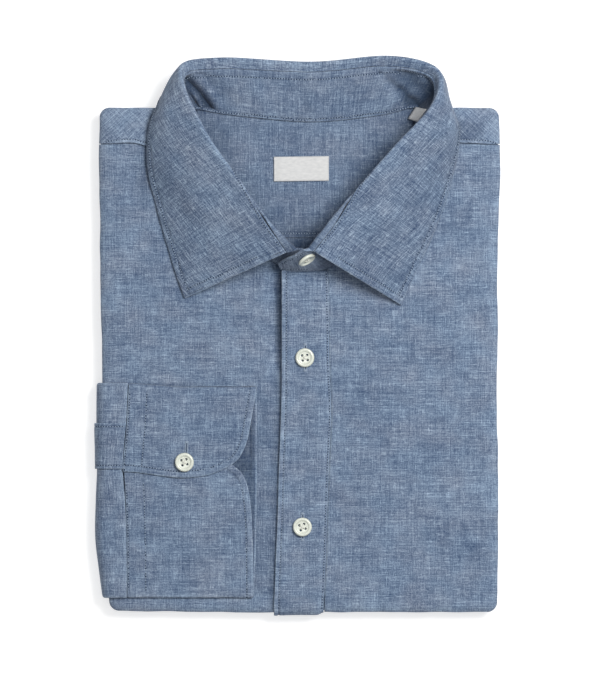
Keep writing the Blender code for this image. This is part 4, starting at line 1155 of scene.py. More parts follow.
def sleeve_path(y, fill=4):
    """Middle line of the flattened sleeve at one height up the shirt, with its normals."""
    left = SLEEVE_LEFT(y) + SLEEVE_HALF
    low = SLEEVE_HALF + 0.2
    knots = []
    for row in SLEEVE_WRAP:
        flat_x = left + SLEEVE_FLAT_INSET
        flat_x += (SLEEVE_SEAM(y) - CUFF_GAP - flat_x) * row.flat
        x = left + row.inset if row.inset or row.rise < 0.9 else flat_x
        high = cloth_top(max(x, left + SLEEVE_FLAT_INSET), y) + SEAM_GAP + SLEEVE_HALF
        knots.append(Vector((x, low + (high - low) * row.rise)))
    path = [Vector(between(knots, i, step / fill))
            for i in range(len(knots) - 1) for step in range(fill)] + [knots[-1]]
    normals = []
    for i in range(len(path)):
        before, after = around(path, i)
        normals.append(Vector((after.y - before.y, before.x - after.x)).normalized())
    return list(zip(path, normals))


def sleeve_loop():
    """Heights round the flattened tube, each with its share from the under to the outer wall."""
    top, foot = SLEEVE_TOP_Y - SLEEVE_HALF, SLEEVE_FOOT_Y + SLEEVE_HALF
    ys = spread(top, foot, 104)
    turn = [math.sin(part) for part in spread(math.pi / 2, -math.pi / 2, 8)][1:-1]
    loop = [(y, 1) for y in ys]
    loop += [(SLEEVE_FOOT_Y + SLEEVE_HALF * (1 - math.sqrt(1 - s * s)), s) for s in turn]
    loop += [(y, -1) for y in reversed(ys)]
    loop += [(SLEEVE_TOP_Y - SLEEVE_HALF * (1 - math.sqrt(1 - s * s)), -s) for s in turn]
    return loop + loop[:1]


def build_sleeve():
    """The sleeve's end: a flattened tube from the cuff over the side, open at both ends."""
    cloth = Weaver()
    round_tube = 0
    first = None
    inner = SLEEVE_HALF - CLOTH / 2
    for y, share in sleeve_loop():
        cloth.row()
        row = [Vector((p.x + n.x * inner * share, y, p.y + n.y * inner * share))
               for p, n in sleeve_path(y)]
        round_tube += (row[0] - first).length if first else 0
        first = row[0]
        run = 0
        for i, point in enumerate(row):
            run += (point - row[i - 1]).length if i else 0
            # Paler along the tube's top and foot folds; painted light at its end by the cuff seam.
            worn = 0.5 * bump(abs(share) - 0.5, 0.5) * (abs(share) < 0.99) + 0.8 * bump(run, 1.2)
            cloth.add(point, CLOTH / 2 * rounded(run, 0.6, 0.5),
                      (round_tube + SLEEVE_CUT, run), worn)
    return cloth.shell("sleeve_cloth", looped=True)


def build_gauntlet():
    """The sleeve placket's strip, lying on the sleeve's own path."""
    cloth = Weaver()
    out = SLEEVE_HALF + GAUNTLET_REACH + 0.35
    span = GAUNTLET_TOP_Y - GAUNTLET_FOOT_Y
    edge_steps = (0, 0.1, 0.35, 0.8, 1.5, 2.1, 2.7)
    for down in edged(0, span, edge_steps, edge_steps, 20):
        cloth.row()
        y = GAUNTLET_TOP_Y - down
        away = min(down, span - down)
        off_line = away - GAUNTLET_STITCH
        run, last = 0, None
        for p, n in sleeve_path(y)[:25]:
            spot = p + n * (out + 0.12 * ripple(p.x, y, 4, 3))
            point = Vector((spot.x, y, spot.y))
            run += (point - last).length if last else 0
            last = point
            # Paler at its edges, with painted shade in the stitch groove.
            cloth.add(point, 0.42 * rounded(away, 0.5, 0.05) - 0.16 * bump(off_line, 0.45),
                      (y + GAUNTLET_CUT, run), 0.8 * bump(away, 0.7) - 0.45 * bump(off_line, 0.5))
    return cloth.shell("sleeve_placket_cloth")


CUFF_HEM = 3.9
CUFF_SEAM_LINES = (0.9, 11.2)


def cuff_rows():
    """The cuff's rows, smoothly filled in about a millimetre apart, and the top one's number."""
    filled = []
    for i, (here, there) in enumerate(zip(CUFF_ROWS, CUFF_ROWS[1:])):
        run = max(math.dist((here.y, here.level), (there.y, there.level)),
                  0.35 * abs(here.edge - there.edge))
        count = steps_for(run, 1)
        filled += [between(CUFF_ROWS, i, step / count) for step in range(count)]
    filled.append(list(CUFF_ROWS[-1]))
    inner = [i for i, row in enumerate(filled) if row[2] < 2]
    return filled, max(inner, key=lambda i: filled[i][0])


def cuff_point(row, x):
    y, rise, level, seam, edge = row
    place_y = y + rise * smooth_step(-66, -104, x)
    return Vector((x, place_y, cloth_top(x, place_y) + level))


def build_cuff():
    """The cuff: one band, flattened, its upper flap lapped over its lower flap."""
    filled, top = cuff_rows()
    edge_in = (0, 0.1, 0.3, 0.65, 1.1, 1.7, 2.4, 3, 3.45, 3.9, 4.35, 4.9, 6)
    seam_in = (0, 0.2, 0.5, 0.9, 1.3, 1.9, 2.8, 6, 9.6, 10.6, 11.2, 11.8, 12.8)
    rows = [[cuff_point(row, x) for x in edged(row[3], row[4], seam_in, edge_in, 24)]
            for row in filled]
    lower = EdgeFinder(rows[0] + [row[-1] for row in rows[1:top]])
    upper = EdgeFinder([row[-1] for row in rows[top:-1]] + rows[-1][::-1])
    cloth = Weaver()
    along = 0
    for i, row in enumerate(rows):
        cloth.row()
        along += (row[0] - rows[i - 1][0]).length if i else 0
        for point in row:
            x, y = point.x, point.y
            away = (upper if i >= top else lower)(point)
            from_seam = x - row[0].x
            off_lines = [abs(from_seam - line) for line in CUFF_SEAM_LINES]
            lines = max(bump(off, 0.55) for off in off_lines)
            near_line = min([abs(away - CUFF_HEM)] + off_lines)
            # Pale worn hem edge with painted shade in its stitch groove, painted shade along the
            # seam's stitch lines, painted light at the seam edge and along the foot fold, and
            # painted pucker shading.
            worn = (hem_wear_and_shade(away, CUFF_HEM) - 0.4 * lines + 0.9 * bump(from_seam, 0.8)
                    + pucker_light_and_shade(x, y, near_line) + 0.9 * bump(y + 156.6, 1.1))
            # Painted shade on the back half, where it shows beside the flaps.
            if filled[i][2] < 1:
                worn -= 1.2 * smooth_step(0.3, 1.6, away)
            # Painted shadow at the notch under the upper flap.
            if i < top:
                worn -= 0.8 * patch(x, y, -34, -81.5, 4, 4.5)
            half = hem_half(away, CLOTH / 2 * rounded(from_seam, 1.3, 0.05), CUFF_HEM)
            lift = 0.34 * ripple(x, y, 2.5, 7) * bump(near_line, 2.3) + 0.22 * ripple(x, y, 12, 17)
            cloth.add(point, half - 0.16 * lines, (x + CUFF_CUT, along), worn, lift)
    return cloth.shell("cuff_cloth")


# ---- buttons, label and tag
def model_button():
    """One four-hole button, lying at the origin: a rim round a sunk face with rounded holes."""
    deselect_all()
    profile = BUTTON_PROFILE[::-1]
    bpy.ops.mesh.primitive_circle_add(
        vertices=BUTTON_SIDES, radius=profile[0].radius * MM, fill_type="NGON",
        location=(0, 0, profile[0].height * MM))
    button = bpy.context.object
    bpy.ops.object.mode_set(mode="EDIT")
    bpy.ops.mesh.select_all(action="SELECT")
    for before, row in zip(profile, profile[1:]):
        rise = (row.height - before.height) * MM
        bpy.ops.mesh.extrude_region_move(TRANSFORM_OT_translate={"value": (0, 0, rise)})
        share = row.radius / before.radius
        bpy.ops.transform.resize(value=(share, share, 1), center_override=(0, 0, 0))
    bpy.ops.mesh.select_all(action="SELECT")
    bpy.ops.mesh.normals_make_consistent(inside=False)
    bpy.ops.object.mode_set(mode="OBJECT")
    posts = []
    reach = HOLE_SPREAD * math.sqrt(2) * MM
    for i in range(4):
        turn = math.pi / 4 + i * math.pi / 2
        bpy.ops.mesh.primitive_cylinder_add(
            vertices=HOLE_SIDES, radius=HOLE_RADIUS * MM, depth=6 * MM,
            location=(reach * math.cos(turn), reach * math.sin(turn), 1 * MM))
        posts.append(bpy.context.object)
    for post in posts:
        post.select_set(True)
    bpy.context.view_layer.objects.active = posts[0]
    bpy.ops.object.join()
    posts = bpy.context.object
    apply_modifier(button, "BOOLEAN", operation="DIFFERENCE", object=posts)
    bpy.data.objects.remove(posts, do_unlink=True)
    apply_modifier(button, "BEVEL", width=RIM_BEVEL * MM, segments=2, limit_method="ANGLE",
                   angle_limit=math.radians(40))
    bpy.ops.object.shade_smooth_by_angle(angle=math.radians(50))
    return button


def tube(path, radius, sides=7):
    """Points and faces of a round strand along a path, closed at both ends."""
    points, faces = [], []
    for i, spot in enumerate(path):
        before, after = around(path, i)
        run = (after - before).normalized()
        side = run.cross(Vector((0, 0, 1)))
        side = side.normalized() if side.length > 0.05 else Vector((1, 0, 0))
        over = side.cross(run)
        for k in range(sides):
            turn = 2 * math.pi * k / sides
            points.append(spot + (side * math.cos(turn) + over * math.sin(turn)) * radius)
    end = len(points) - sides
    for i in range(0, end, sides):
        for k in range(sides):
            a, b = i + k, i + (k + 1) % sides
            faces.append((a, b, b + sides, a + sides))
    faces += [tuple(range(sides))[::-1], tuple(range(end, end + sides))]
    return points, faces


def strand_points(over, turn):
    """A thread's way out of one hole, over the button's face and into the other."""
    reach = HOLE_SPREAD * math.sqrt(2) - 0.15
    path = []
    for part in spread(0, 1, 10):
        along = -1 + 2 * part
        height = THREAD_TOP - 1.5 * max(abs(along) - 0.72, 0) / 0.28
        spot = Vector((along * reach, 0.16 * math.sin(part * math.pi) * over, height))
        path.append(Matrix.Rotation(turn, 3, "Z") @ spot)
    return path


def button_places():
    """Each button's name with its matrix in millimetres."""
    for row in FLAT_BUTTONS:
        spot = (row.x, row.y, cloth_top(row.x, row.y) + row.lift - 0.1)
        yield row.name, Matrix.Translation(spot) @ Matrix.Rotation(row.turn, 4, "Z")
    x, y, z, lean_x, lean_y = COLLAR_BUTTON
    tilt = Vector((lean_x, lean_y, math.sqrt(1 - lean_x ** 2 - lean_y ** 2)))
    turned = tilt.to_track_quat("Z", "Y").to_matrix().to_4x4()
    yield "collar_button", (Matrix.Translation((x, y, z)) @ turned
                            @ Matrix.Rotation(0.15, 4, "Z"))


def build_buttons(pearl, cotton):
    """The four buttons from one model, each with its crossed threads."""
    model = model_button()
    for name, place in button_places():
        button = model.copy()
        button.data = model.data.copy()
        button.name = name + "_face"
        bpy.context.collection.objects.link(button)
        button.data.transform(Matrix.Scale(MM, 4) @ Matrix.Translation(CENTRE_SHIFT) @ place
                              @ Matrix.Scale(1 / MM, 4))
        seat(button, [name], "button", pearl)
        points, faces = [], []
        for over, turn in ((1, math.pi / 4), (-1, -math.pi / 4)):
            more, more_faces = tube(strand_points(over, turn), BUTTON_THREAD)
            faces += [tuple(number + len(points) for number in face) for face in more_faces]
            points += [place @ point for point in more]
        threads = add_mesh(name + "_thread", points, faces,
                           [(p.x, p.y) for p in points], [0] * len(points))
        seat(threads, [], "label", cotton)
    bpy.data.objects.remove(model, do_unlink=True)


def build_label():
    """The bare woven label on the inner yoke."""
    cloth = Weaver()
    side_steps = (0, 0.1, 0.3, 0.6, 1)
    for y in edged(LABEL_FOOT_Y, LABEL_TOP_Y, side_steps[:3], side_steps[:3], 14)[::-1]:
        cloth.row()
        for x in edged(LABEL_LEFT, LABEL_RIGHT, side_steps, side_steps, 26):
            ends = min(x - LABEL_LEFT, LABEL_RIGHT - x)
            away = min(ends, y - LABEL_FOOT_Y, LABEL_TOP_Y - y)
            lift = 0.75 + 0.25 * smooth_step(0, 3, ends) - 0.12 * bump(ends - 1, 0.4)
            height = cloth_top(x, y) + lift + 0.1 * ripple(x, y, 9, 30)
            cloth.add(Vector((x, y + 0.012 * (x - 2.5), height)), 0.36 * rounded(away, 0.4, 0.05),
                      (x, y), bump(away, 0.5))
    return cloth.shell("neck_label_tape")


def build_tag():
    """The small bare tag hung from the neck seam by the right corner, over stand and yoke."""
    trees = [surface_tree(MADE[name]) for name in ("yoke_inside_cloth", "collar_stand_cloth")]
    corners = []
    for place in TAG_PLACES:
        below = max(point.z for tree in trees for point, normal in drop_line(tree, [place]))
        corners.append(Vector((*place, below + TAG_CLEAR)))
    seam_left, seam_right, foot_left, foot_right = corners
    cloth = Weaver()
    for across in spread(0, 1, 8):
        cloth.row()
        top = seam_left.lerp(seam_right, across)
        foot = foot_left.lerp(foot_right, across)
        for k, down in enumerate(spread(0, 1, 10)):
            point = top.lerp(foot, down) + Vector((0, 0, 0.7 * math.sin(math.pi * down)))
            cloth.add(point, 0.3, (across * 10, k), float(down in (0, 1)))
    return cloth.shell("size_tag_tape")


# ---- sewing
STITCH_LENGTH = 0.6
STITCH_RADIUS = 0.25
# Radius of the dark disc of painted shade at each needle hole.
HOLE_SHARE = 0.5
SATIN_PITCH = 0.62


def even_places(spots):
    """Points, normals and directions at even steps along a line of points with normals."""
    placed = []
    carried = 0
    for (a, first), (b, second) in zip(spots, spots[1:]):
        run = (b - a).length
        while run > 1e-6 and carried <= run:
            part = carried / run
            placed.append((a.lerp(b, part), first.lerp(second, part).normalized(),
                           (b - a).normalized()))
            carried += STITCH_PITCH
        carried -= run
    return placed


class Sewing:
    """Stitches gathered into one mesh: pale threads, with dark discs of painted shade at the
    needle holes between them.
    """

    def __init__(self):
        self.points = []
        self.faces = []
        self.marks = []
        self.tree = None

    def on(self, thing):
        """Chooses the piece that the next stitches lie on."""
        self.tree = surface_tree(thing)
        return self

    def face(self, mark, *corners):
        self.faces.append(corners)
        self.marks.append(mark)

    def strand(self, start, end, normal, radius):
        side = (end - start).cross(normal).normalized() * radius
        up = normal * radius
        first = len(self.points)
        for part, grow, height in ((0, 0.35, -0.5), (0.2, 0.9, 0), (0.8, 0.9, 0), (1, 0.35, -0.5)):
            middle = start.lerp(end, part) + normal * (radius * (0.35 + height))
            wide, flank, crest = side * grow, side * grow * 0.6, up * grow * 0.8
            self.points += [middle - wide, middle - flank + crest,
                            middle + flank + crest, middle + wide]
        for ring in range(first, first + 12, 4):
            for a in range(ring, ring + 3):
                self.face(0, a, a + 1, a + 5, a + 4)
        self.face(0, first + 3, first + 2, first + 1, first)
        self.face(0, *range(first + 12, first + 16))

    def hole(self, centre, normal, along, radius):
        # A dark disc of painted shade lying just over the cloth at a needle hole.
        side = along.cross(normal).normalized()
        first = len(self.points)
        for k in range(6):
            turn = math.pi * k / 3
            spot = centre + (along * math.cos(turn) * 1.1 + side * math.sin(turn)) * radius
            self.points.append(spot + normal * 0.05)
            self.face(1, first + k, first + (k + 1) % 6, first + 6)
        self.points.append(centre + normal * 0.07)

    def line(self, spots):
        """A row of lock stitches along a line of points with their normals."""
        for spot, normal, along in even_places(spots):
            slip = 0.1 * ripple(spot.x * 3.1, spot.y * 2.7, 1.7, 40)
            start = spot + along.cross(normal).normalized() * slip
            length = STITCH_PITCH * (STITCH_LENGTH + 0.12 * ripple(spot.x, spot.y, 1.3, 50))
            self.strand(start, start + along * length, normal, STITCH_RADIUS)
            # Between stitches, a disc of painted shade for the needle hole.
            self.hole(start + along * (length + (STITCH_PITCH - length) * 0.5), normal, along,
                      HOLE_SHARE)

    def drop(self, line):
        """Stitches along (x, y) places, laid on the piece from above."""
        self.line(drop_line(self.tree, line))

    def snap(self, points):
        """Stitches near points with normals, laid on the piece's visible face."""
        spots = []
        for point, normal in points:
            out = normal if normal.z > 0 else -normal
            near = (point + out * 1.6 + CENTRE_SHIFT) * MM
            place, face_normal, index, distance = self.tree.find_nearest(near)
            if place is not None:
                spots.append((place / MM - CENTRE_SHIFT, face_normal))
        self.line(spots)

    def bar(self, line, radius):
        """One thread between two (x, y) places."""
        pair = drop_line(self.tree, line)
        if len(pair) == 2:
            self.strand(pair[0][0], pair[1][0], pair[0][1], radius)

    def buttonhole(self, x, y, half_length, lean):
        """Two close rows of satin stitches up the cloth, a bar at each end, and the slit as a row
        of dark discs of painted shade.
        """
        for side in (-1, 1):
            for i in range(int(half_length * 2 / SATIN_PITCH) + 1):
                along = -half_length + i * SATIN_PITCH
                middle = x + lean * along
                self.bar([(middle + side * 0.12, y + along),
                          (middle + side * 1.15, y + along + 0.05)], 0.3)
        for end in (-1, 1):
            for k in range(3):
                along = end * (half_length + 0.15 + 0.35 * k)
                middle = x + lean * along
                self.bar([(middle - 1.1, y + along), (middle + 1.1, y + along)], 0.26)
        slit = drop_line(self.tree, [(x + lean * along, y + along) for along in
                                     spread(-half_length + 0.4, half_length - 0.4, 16)])
        for (a, normal), (b, other) in zip(slit, slit[1:]):
            self.hole((a + b) / 2 + normal * 0.12, normal, (b - a).normalized(), 0.42)

    def finish(self, name):
        thing = add_mesh(name, self.points, self.faces, [(p.x, p.y) for p in self.points],
                         [0] * len(self.points))
        thing.data.polygons.foreach_set("material_index", self.marks)
        seat(thing, [], "chambray", *thread_finishes())


def section_line(sections, normals, where, first, last):
    """A line across the sections from one place to another, at a length where(section)."""
    line = []
    for section, normal_row in zip(sections, normals):
        if first <= section.place <= last:
            at = where(section)
            j = min(range(len(section.marks)), key=lambda k: abs(section.marks[k] - at))
            line.append((section.at(at), normal_row[j]))
    return line


def front_hem_line(sections, normals):
    """The hem's line along one front edge of the leaf, inside it by the hem's width."""
    edge = sections[0].points
    near, far = edge[18], edge[-1]
    run = (far - near).normalized()
    line = []
    for j in range(20, len(edge)):
        for section, normal_row in zip(sections[1:], normals[1:]):
            spot = section.points[j]
            if (spot - near).cross(run).length >= LEAF_HEM:
                if (far - spot).dot(run) > LEAF_HEM * 0.75:
                    line.append((spot, normal_row[j]))
                break
    return line


def sew_leaf(leaf, sections):
    """The leaf's hem line round its free edges, and the line beside its seam."""
    normals = grid_normals([section.points for section in sections])
    sewing = Sewing().on(leaf)
    hem = section_line(sections, normals, lambda s: s.lengths[-1] - LEAF_HEM, 0, LAST_SECTION)
    ends = EdgeFinder(sections[0].points), EdgeFinder(sections[-1].points)
    hem = [spot for spot in hem if min(end(spot[0]) for end in ends) > LEAF_HEM * 0.95]
    right = front_hem_line(sections[::-1], normals[::-1])
    sewing.snap(front_hem_line(sections, normals) + hem + right[::-1])
    for first, last in ((0.3, 3.2), (12.8, 15.7)):
        sewing.snap(section_line(sections, normals, lambda s: s.marks[0] + LEAF_SEAM_STITCH,
                                 first, last))
    sewing.finish("leaf_stitches")


def sew_stand(stand, sections):
    """The stand's lines: under its top seam, over the neck seam, and round the lapped end."""
    normals = grid_normals([section.points for section in sections])
    sewing = Sewing().on(stand)

    def line(where, first, last):
        return section_line(sections, normals, where, first, last)

    sewing.snap(line(lambda s: s.marks[-1] - STAND_TOP_STITCH, 1.2, 15))
    sewing.snap(line(lambda s: STAND_NECK_STITCH, 0.6, 15.6))
    sewing.snap(line(lambda s: s.marks[-1] - LAP_STITCH, 17.2, 21.6)
                + line(lambda s: 3.2, 18.4, 21.6)[::-1])
    sewing.finish("stand_stitches")


def offset_line(outline, reach):
    """An outline moved to its right-hand side by a reach, as (x, y) places."""
    moved = []
    for i in range(1, len(outline) - 1):
        before, after = around(outline, i)
        run = Vector((after.x - before.x, after.y - before.y))
        if run.length > 1e-4:
            run.normalize()
            moved.append((outline[i].x + run.y * reach, outline[i].y - run.x * reach))
    return moved


def cuff_lines():
    """The cuff's stitch lines: round the upper flap, down the lower one, and by the seam."""
    filled, top = cuff_rows()
    upper, lower = filled[top:], filled[:top]
    last = upper[-1]
    outline = [cuff_point(row, row[4]) for row in upper]
    outline += [cuff_point(last, x) for x in spread(last[4], last[3] + 0.6, 40)[1:]]
    lines = [offset_line(outline, CUFF_HEM)[6:],
             [(row[4] - CUFF_HEM, row[0]) for row in lower if row[2] > 2 and row[0] < -92]]
    for reach in CUFF_SEAM_LINES:
        lines.append([(row[3] + reach, row[0]) for row in upper if row[2] > 2.4 and row[0] > -80])
        lines.append([(row[3] + reach, row[0]) for row in lower
                      if row[2] > 2 and -154 < row[0] < -88.5])
    return lines


def band_lines():
    ys = spread(BAND_ROWS[0].y - 1, FOOT_EDGE_Y + 3, 150)
    return [[(BAND["left"](y) + BAND_STITCH, y) for y in ys],
            [(BAND["right"](y) - BAND_SEAM_STITCH, y) for y in ys]]


def yoke_line(side):
    far = EDGE[side](112) - side * 2
    near = NECK_X[side](113) + side * 3
    return [(x, YOKE_LINE(x) + 2.15) for x in spread(far, near, 40)]


def inner_yoke_line():
    y = YOKE_INNER_SEAM_Y + SEAM_GAP + INSIDE_STITCH
    return [(x, y) for x in spread(NECK_X[-1](y) + 2, NECK_X[1](y) - 2, 30)]


def gauntlet_lines():
    lines = []
    for y in (GAUNTLET_TOP_Y - GAUNTLET_STITCH, GAUNTLET_FOOT_Y + GAUNTLET_STITCH):
        seam = SLEEVE_SEAM(y) - CUFF_GAP - 0.8
        lines.append([(x, y) for x in spread(seam, SLEEVE_LEFT(y) + 1, 24)])
    return lines


# ---- finishes
class Wire:
    """A shader socket whose arithmetic adds Math nodes."""

    def __init__(self, finish, socket):
        self.finish = finish
        self.socket = socket

    def math(self, operation, first, second=0):
        return self.finish.node("ShaderNodeMath", {"operation": operation}, {0: first, 1: second})

    def __add__(self, other):
        return self.math("ADD", self, other)

    def __radd__(self, other):
        return self.math("ADD", other, self)

    def __sub__(self, other):
        return self.math("SUBTRACT", self, other)

    def __rsub__(self, other):
        return self.math("SUBTRACT", other, self)

    def __mul__(self, other):
        return self.math("MULTIPLY", self, other)

    def __rmul__(self, other):
        return self.math("MULTIPLY", other, self)

    def clip(self, low, high):
        return self.math("MINIMUM", self.math("MAXIMUM", self, low), high)

    def wave(self, length):
        """A sine of this value, with the given wavelength."""
        return self.math("SINE", self * (2 * math.pi / length), 0)


class Finish:
    """A material in the making, whose nodes all come from one method."""

    def __init__(self, name):
        self.material = bpy.data.materials.new(name)
        self.material.use_nodes = True
        self.tree = self.material.node_tree
        self.tree.nodes.clear()

    def node(self, kind, settings=None, inputs=None, output=0):
        """Adds a node with its settings and its sockets' values or links."""
        node = self.tree.nodes.new(kind)
        for name, value in (settings or {}).items():
            setattr(node, name, value)
        for name, value in (inputs or {}).items():
            if isinstance(value, Wire):
                self.tree.links.new(value.socket, node.inputs[name])
            else:
                node.inputs[name].default_value = value
        return Wire(self, node.outputs[output]) if node.outputs else None

    def surface(self, **values):
        """Ends the material in a shader with the given sockets."""
        sockets = {name.replace("_", " "): value for name, value in values.items()}
        shader = self.node("ShaderNodeBsdfPrincipled", None, sockets)
        self.node("ShaderNodeOutputMaterial", None, {0: shader})
        return self.material

    def weave(self):
        """The piece's own place in the flat cloth, in metres."""
        return self.node("ShaderNodeUVMap", {"uv_map": "weave"})

    def part(self, spot, axis):
        return self.node("ShaderNodeSeparateXYZ", None, {0: spot}, axis)

    def patches(self, spot, across, along, detail=1):
        """Soft noise from 0 to 1 whose patches measure across by along, in metres."""
        sized = self.node("ShaderNodeMapping", None,
                          {"Vector": spot, "Scale": (1 / across, 1 / along, 1)})
        return self.node("ShaderNodeTexNoise", {"noise_dimensions": "2D"},
                         {"Vector": sized, "Scale": 1, "Detail": detail})

    def solid_noise(self, scale, detail, distortion=0):
        spot = self.node("ShaderNodeTexCoord", None, None, 3)
        return self.node("ShaderNodeTexNoise", None, {
            "Vector": spot, "Scale": scale, "Detail": detail, "Distortion": distortion})

    def blend(self, share, first, second):
        return self.node("ShaderNodeMix", {"data_type": "RGBA"},
                         {"Factor": share, 6: first, 7: second}, 2)

    def worn(self):
        # The wear attribute: each point's wear together with painted light and shade.
        return self.node("ShaderNodeAttribute", {"attribute_name": "wear"}, None, 2)

    def relief(self, height, distance, strength):
        return self.node("ShaderNodeBump", None,
                         {"Height": height, "Distance": distance, "Strength": strength})


def tinted(colour, *factors):
    """A colour with its red, green and blue made brighter or darker."""
    factors = factors if len(factors) == 3 else factors * 3
    return tuple(min(c * f, 1) for c, f in zip(colour, factors)) + (1,)


YARN = 0.00042
# Colour that painted shade blends the cloth towards.
DEEP_SHADE = (0.01, 0.022, 0.043, 1)


def chambray(name, dark, pale, faded, warp_share, weft_share, gain=1):
    """Plain weave of blue warp and pale weft with slubs; paler where the wear attribute is above 0
    (worn edges and painted light), darker where it is below 0 (painted shade).
    """
    finish = Finish(name)
    spot = finish.weave()

    def off_middle(across, along, detail=1):
        return finish.patches(spot, across, along, detail) - 0.5

    warp = off_middle(0.00062, 0.0022) * 1.45 + off_middle(0.00075, 0.021, 0) * 1.25
    weft = off_middle(0.0024, 0.00062) * 1.45 + off_middle(0.023, 0.00075, 0) * 1.25
    slub_weft = (finish.patches(spot, 0.0055, 0.0007, 0) - 0.66).clip(0, 0.12) * 3.8
    slub_warp = (finish.patches(spot, 0.0007, 0.0055, 0) - 0.68).clip(0, 0.12) * 3.2
    speck = finish.patches(spot, 0.0007, 0.0007)
    grain = warp * warp_share + weft * weft_share + (speck - 0.5) * 1.15
    tone = (grain * gain + off_middle(0.04, 0.0045) * 0.2 + off_middle(0.007, 0.0062) * 0.58
            + off_middle(0.03, 0.027, 2) * 0.55)
    tone = (tone + (slub_weft + slub_warp) * gain) * 0.85
    worn = finish.worn()
    # Mottle for the paling that wear and painted light bring.
    paling_mottle = finish.patches(spot, 0.0012, 0.0012, 2) * 0.6 + 0.1
    # Above 0 the wear attribute pales the tone; below 0 it darkens it as painted shade.
    tone = tone + worn.clip(0, 1) * paling_mottle - (worn * -1).clip(0, 2.2) * 0.22
    crossing = finish.part(spot, 0).wave(2 * YARN) * finish.part(spot, 1).wave(2 * YARN)
    share = ((tone + crossing * 0.1) * 0.5 + 0.5).clip(0, 1)
    drift = finish.patches(spot, 0.021, 0.017, 2) * 2 - 0.7
    pale = finish.blend(drift.clip(0, 1), pale, faded)
    colour = finish.blend(share * (share * 0.55 + 0.45), dark, pale)
    # Painted shade also blends the colour towards DEEP_SHADE.
    colour = finish.blend((worn * -0.3).clip(0, 0.75), colour, DEEP_SHADE)
    height = warp * 0.35 + weft * 0.35 + crossing * 0.25 + speck * 0.3 + slub_weft * 0.5
    return finish.surface(
        Base_Color=colour, Roughness=0.86, Normal=finish.relief(height, 0.00013, 0.75),
        Sheen_Weight=0.12, Sheen_Roughness=0.55, Specular_IOR_Level=0.22)


def sewing_thread(name, colour, depth):
    """Spun thread: a fine twist along it and a little fluff."""
    finish = Finish(name)
    twist = finish.patches(finish.weave(), 0.0004, 0.0004)
    tone = finish.blend(twist.clip(0, 1), tinted(colour, depth), colour)
    return finish.surface(Base_Color=tone, Roughness=0.7,
                          Normal=finish.relief(twist, 0.00006, 0.6))


def hole_shade_finish(name, colour):
    # The dark discs of painted shade at needle holes, a little mottled.
    finish = Finish(name)
    fuzz = finish.patches(finish.weave(), 0.0005, 0.0005)
    tone = finish.blend(fuzz, colour, tinted(colour, 1.8))
    return finish.surface(Base_Color=tone, Roughness=0.95, Specular_IOR_Level=0.05)


def pearl(name, colour):
    """Off-white pearly resin with soft clouds."""
    finish = Finish(name)
    cloud = finish.solid_noise(260, 3, 1.2)
    band = finish.solid_noise(900, 1, 2)
    tone = finish.blend((cloud * 0.8 + band * 0.3 - 0.15).clip(0, 1),
                        tinted(colour, 0.82, 0.85, 0.8), colour)
    return finish.surface(Base_Color=tone, Roughness=cloud * 0.16 + 0.2, Coat_Weight=0.25,
                          Coat_Roughness=0.12, Normal=finish.relief(band, 0.00004, 0.4))


def woven_tape(name, colour, rib):
    """White woven tape with fine ribs across it and a denser edge."""
    finish = Finish(name)
    spot = finish.weave()
    ribs = finish.part(spot, 1).wave(0.0007)
    ends = finish.part(spot, 0).wave(0.0005)
    cloud = finish.patches(spot, 0.003, 0.0012, 2)
    share = (cloud - 0.5) * 1.1 + 0.55 + ribs * 0.1 - finish.worn().clip(0, 1) * 0.4
    tone = finish.blend(share.clip(0, 1), rib, colour)
    height = ribs * 0.5 + ends * 0.3 + cloud
    return finish.surface(Base_Color=tone, Roughness=0.75, Sheen_Weight=0.1,
                          Normal=finish.relief(height, 0.00006, 0.6))


def plain_floor(name, colour):
    finish = Finish(name)
    tone = finish.blend(finish.solid_noise(300, 2), tinted(colour, 0.985), colour)
    return finish.surface(Base_Color=tone, Roughness=0.9, Specular_IOR_Level=0.1,
                          Emission_Color=colour, Emission_Strength=1)


# ---- settings
def colour_setting(name, description, *rgb):
    return bpy.props.FloatVectorProperty(
        name=name, description=description, subtype="COLOR", size=4, min=0, max=2,
        default=(*rgb, 1))


def power_setting(name, description, default):
    return bpy.props.FloatProperty(name=name, description=description, default=default, min=0)


def size_setting(name, description, default):
    return bpy.props.FloatProperty(name=name, description=description, default=default, min=0,
                                   unit="LENGTH", subtype="DISTANCE")


class ShirtClothSettings(bpy.types.PropertyGroup):
    dark: colour_setting("Blue Yarn", "Deepest blue of the cloth", 0.012, 0.036, 0.1)
    pale: colour_setting("Pale Yarn", "Palest blue of the cloth", 0.305, 0.402, 0.53)
    faded: colour_setting("Faded Yarn", "Greyer pale yarn that drifts through the cloth",
                          0.35, 0.411, 0.506)
    inside_dark: colour_setting("Inside Blue", "Deepest blue inside the neck",
                                0.011, 0.035, 0.098)
    inside_pale: colour_setting("Inside Pale", "Palest blue inside the neck",
                                0.288, 0.376, 0.496)
    thread: colour_setting("Thread", "Colour of the sewing thread", 0.27, 0.34, 0.445)
    # Colour of the painted shade in the needle holes.
    hole: colour_setting("Needle Holes", "Colour in the needle holes", 0.022, 0.036, 0.066)


class ShirtTrimSettings(bpy.types.PropertyGroup):
    pearl: colour_setting("Button", "Colour of the buttons", 0.67, 0.69, 0.635)
    cotton: colour_setting("Button Thread", "Colour of the thread in the buttons",
                           0.66, 0.66, 0.61)
    tape: colour_setting("Label", "Colour of the neck label and tag", 0.62, 0.62, 0.62)
    tape_rib: colour_setting("Label Ribs", "Colour between the label's ribs", 0.46, 0.47, 0.48)


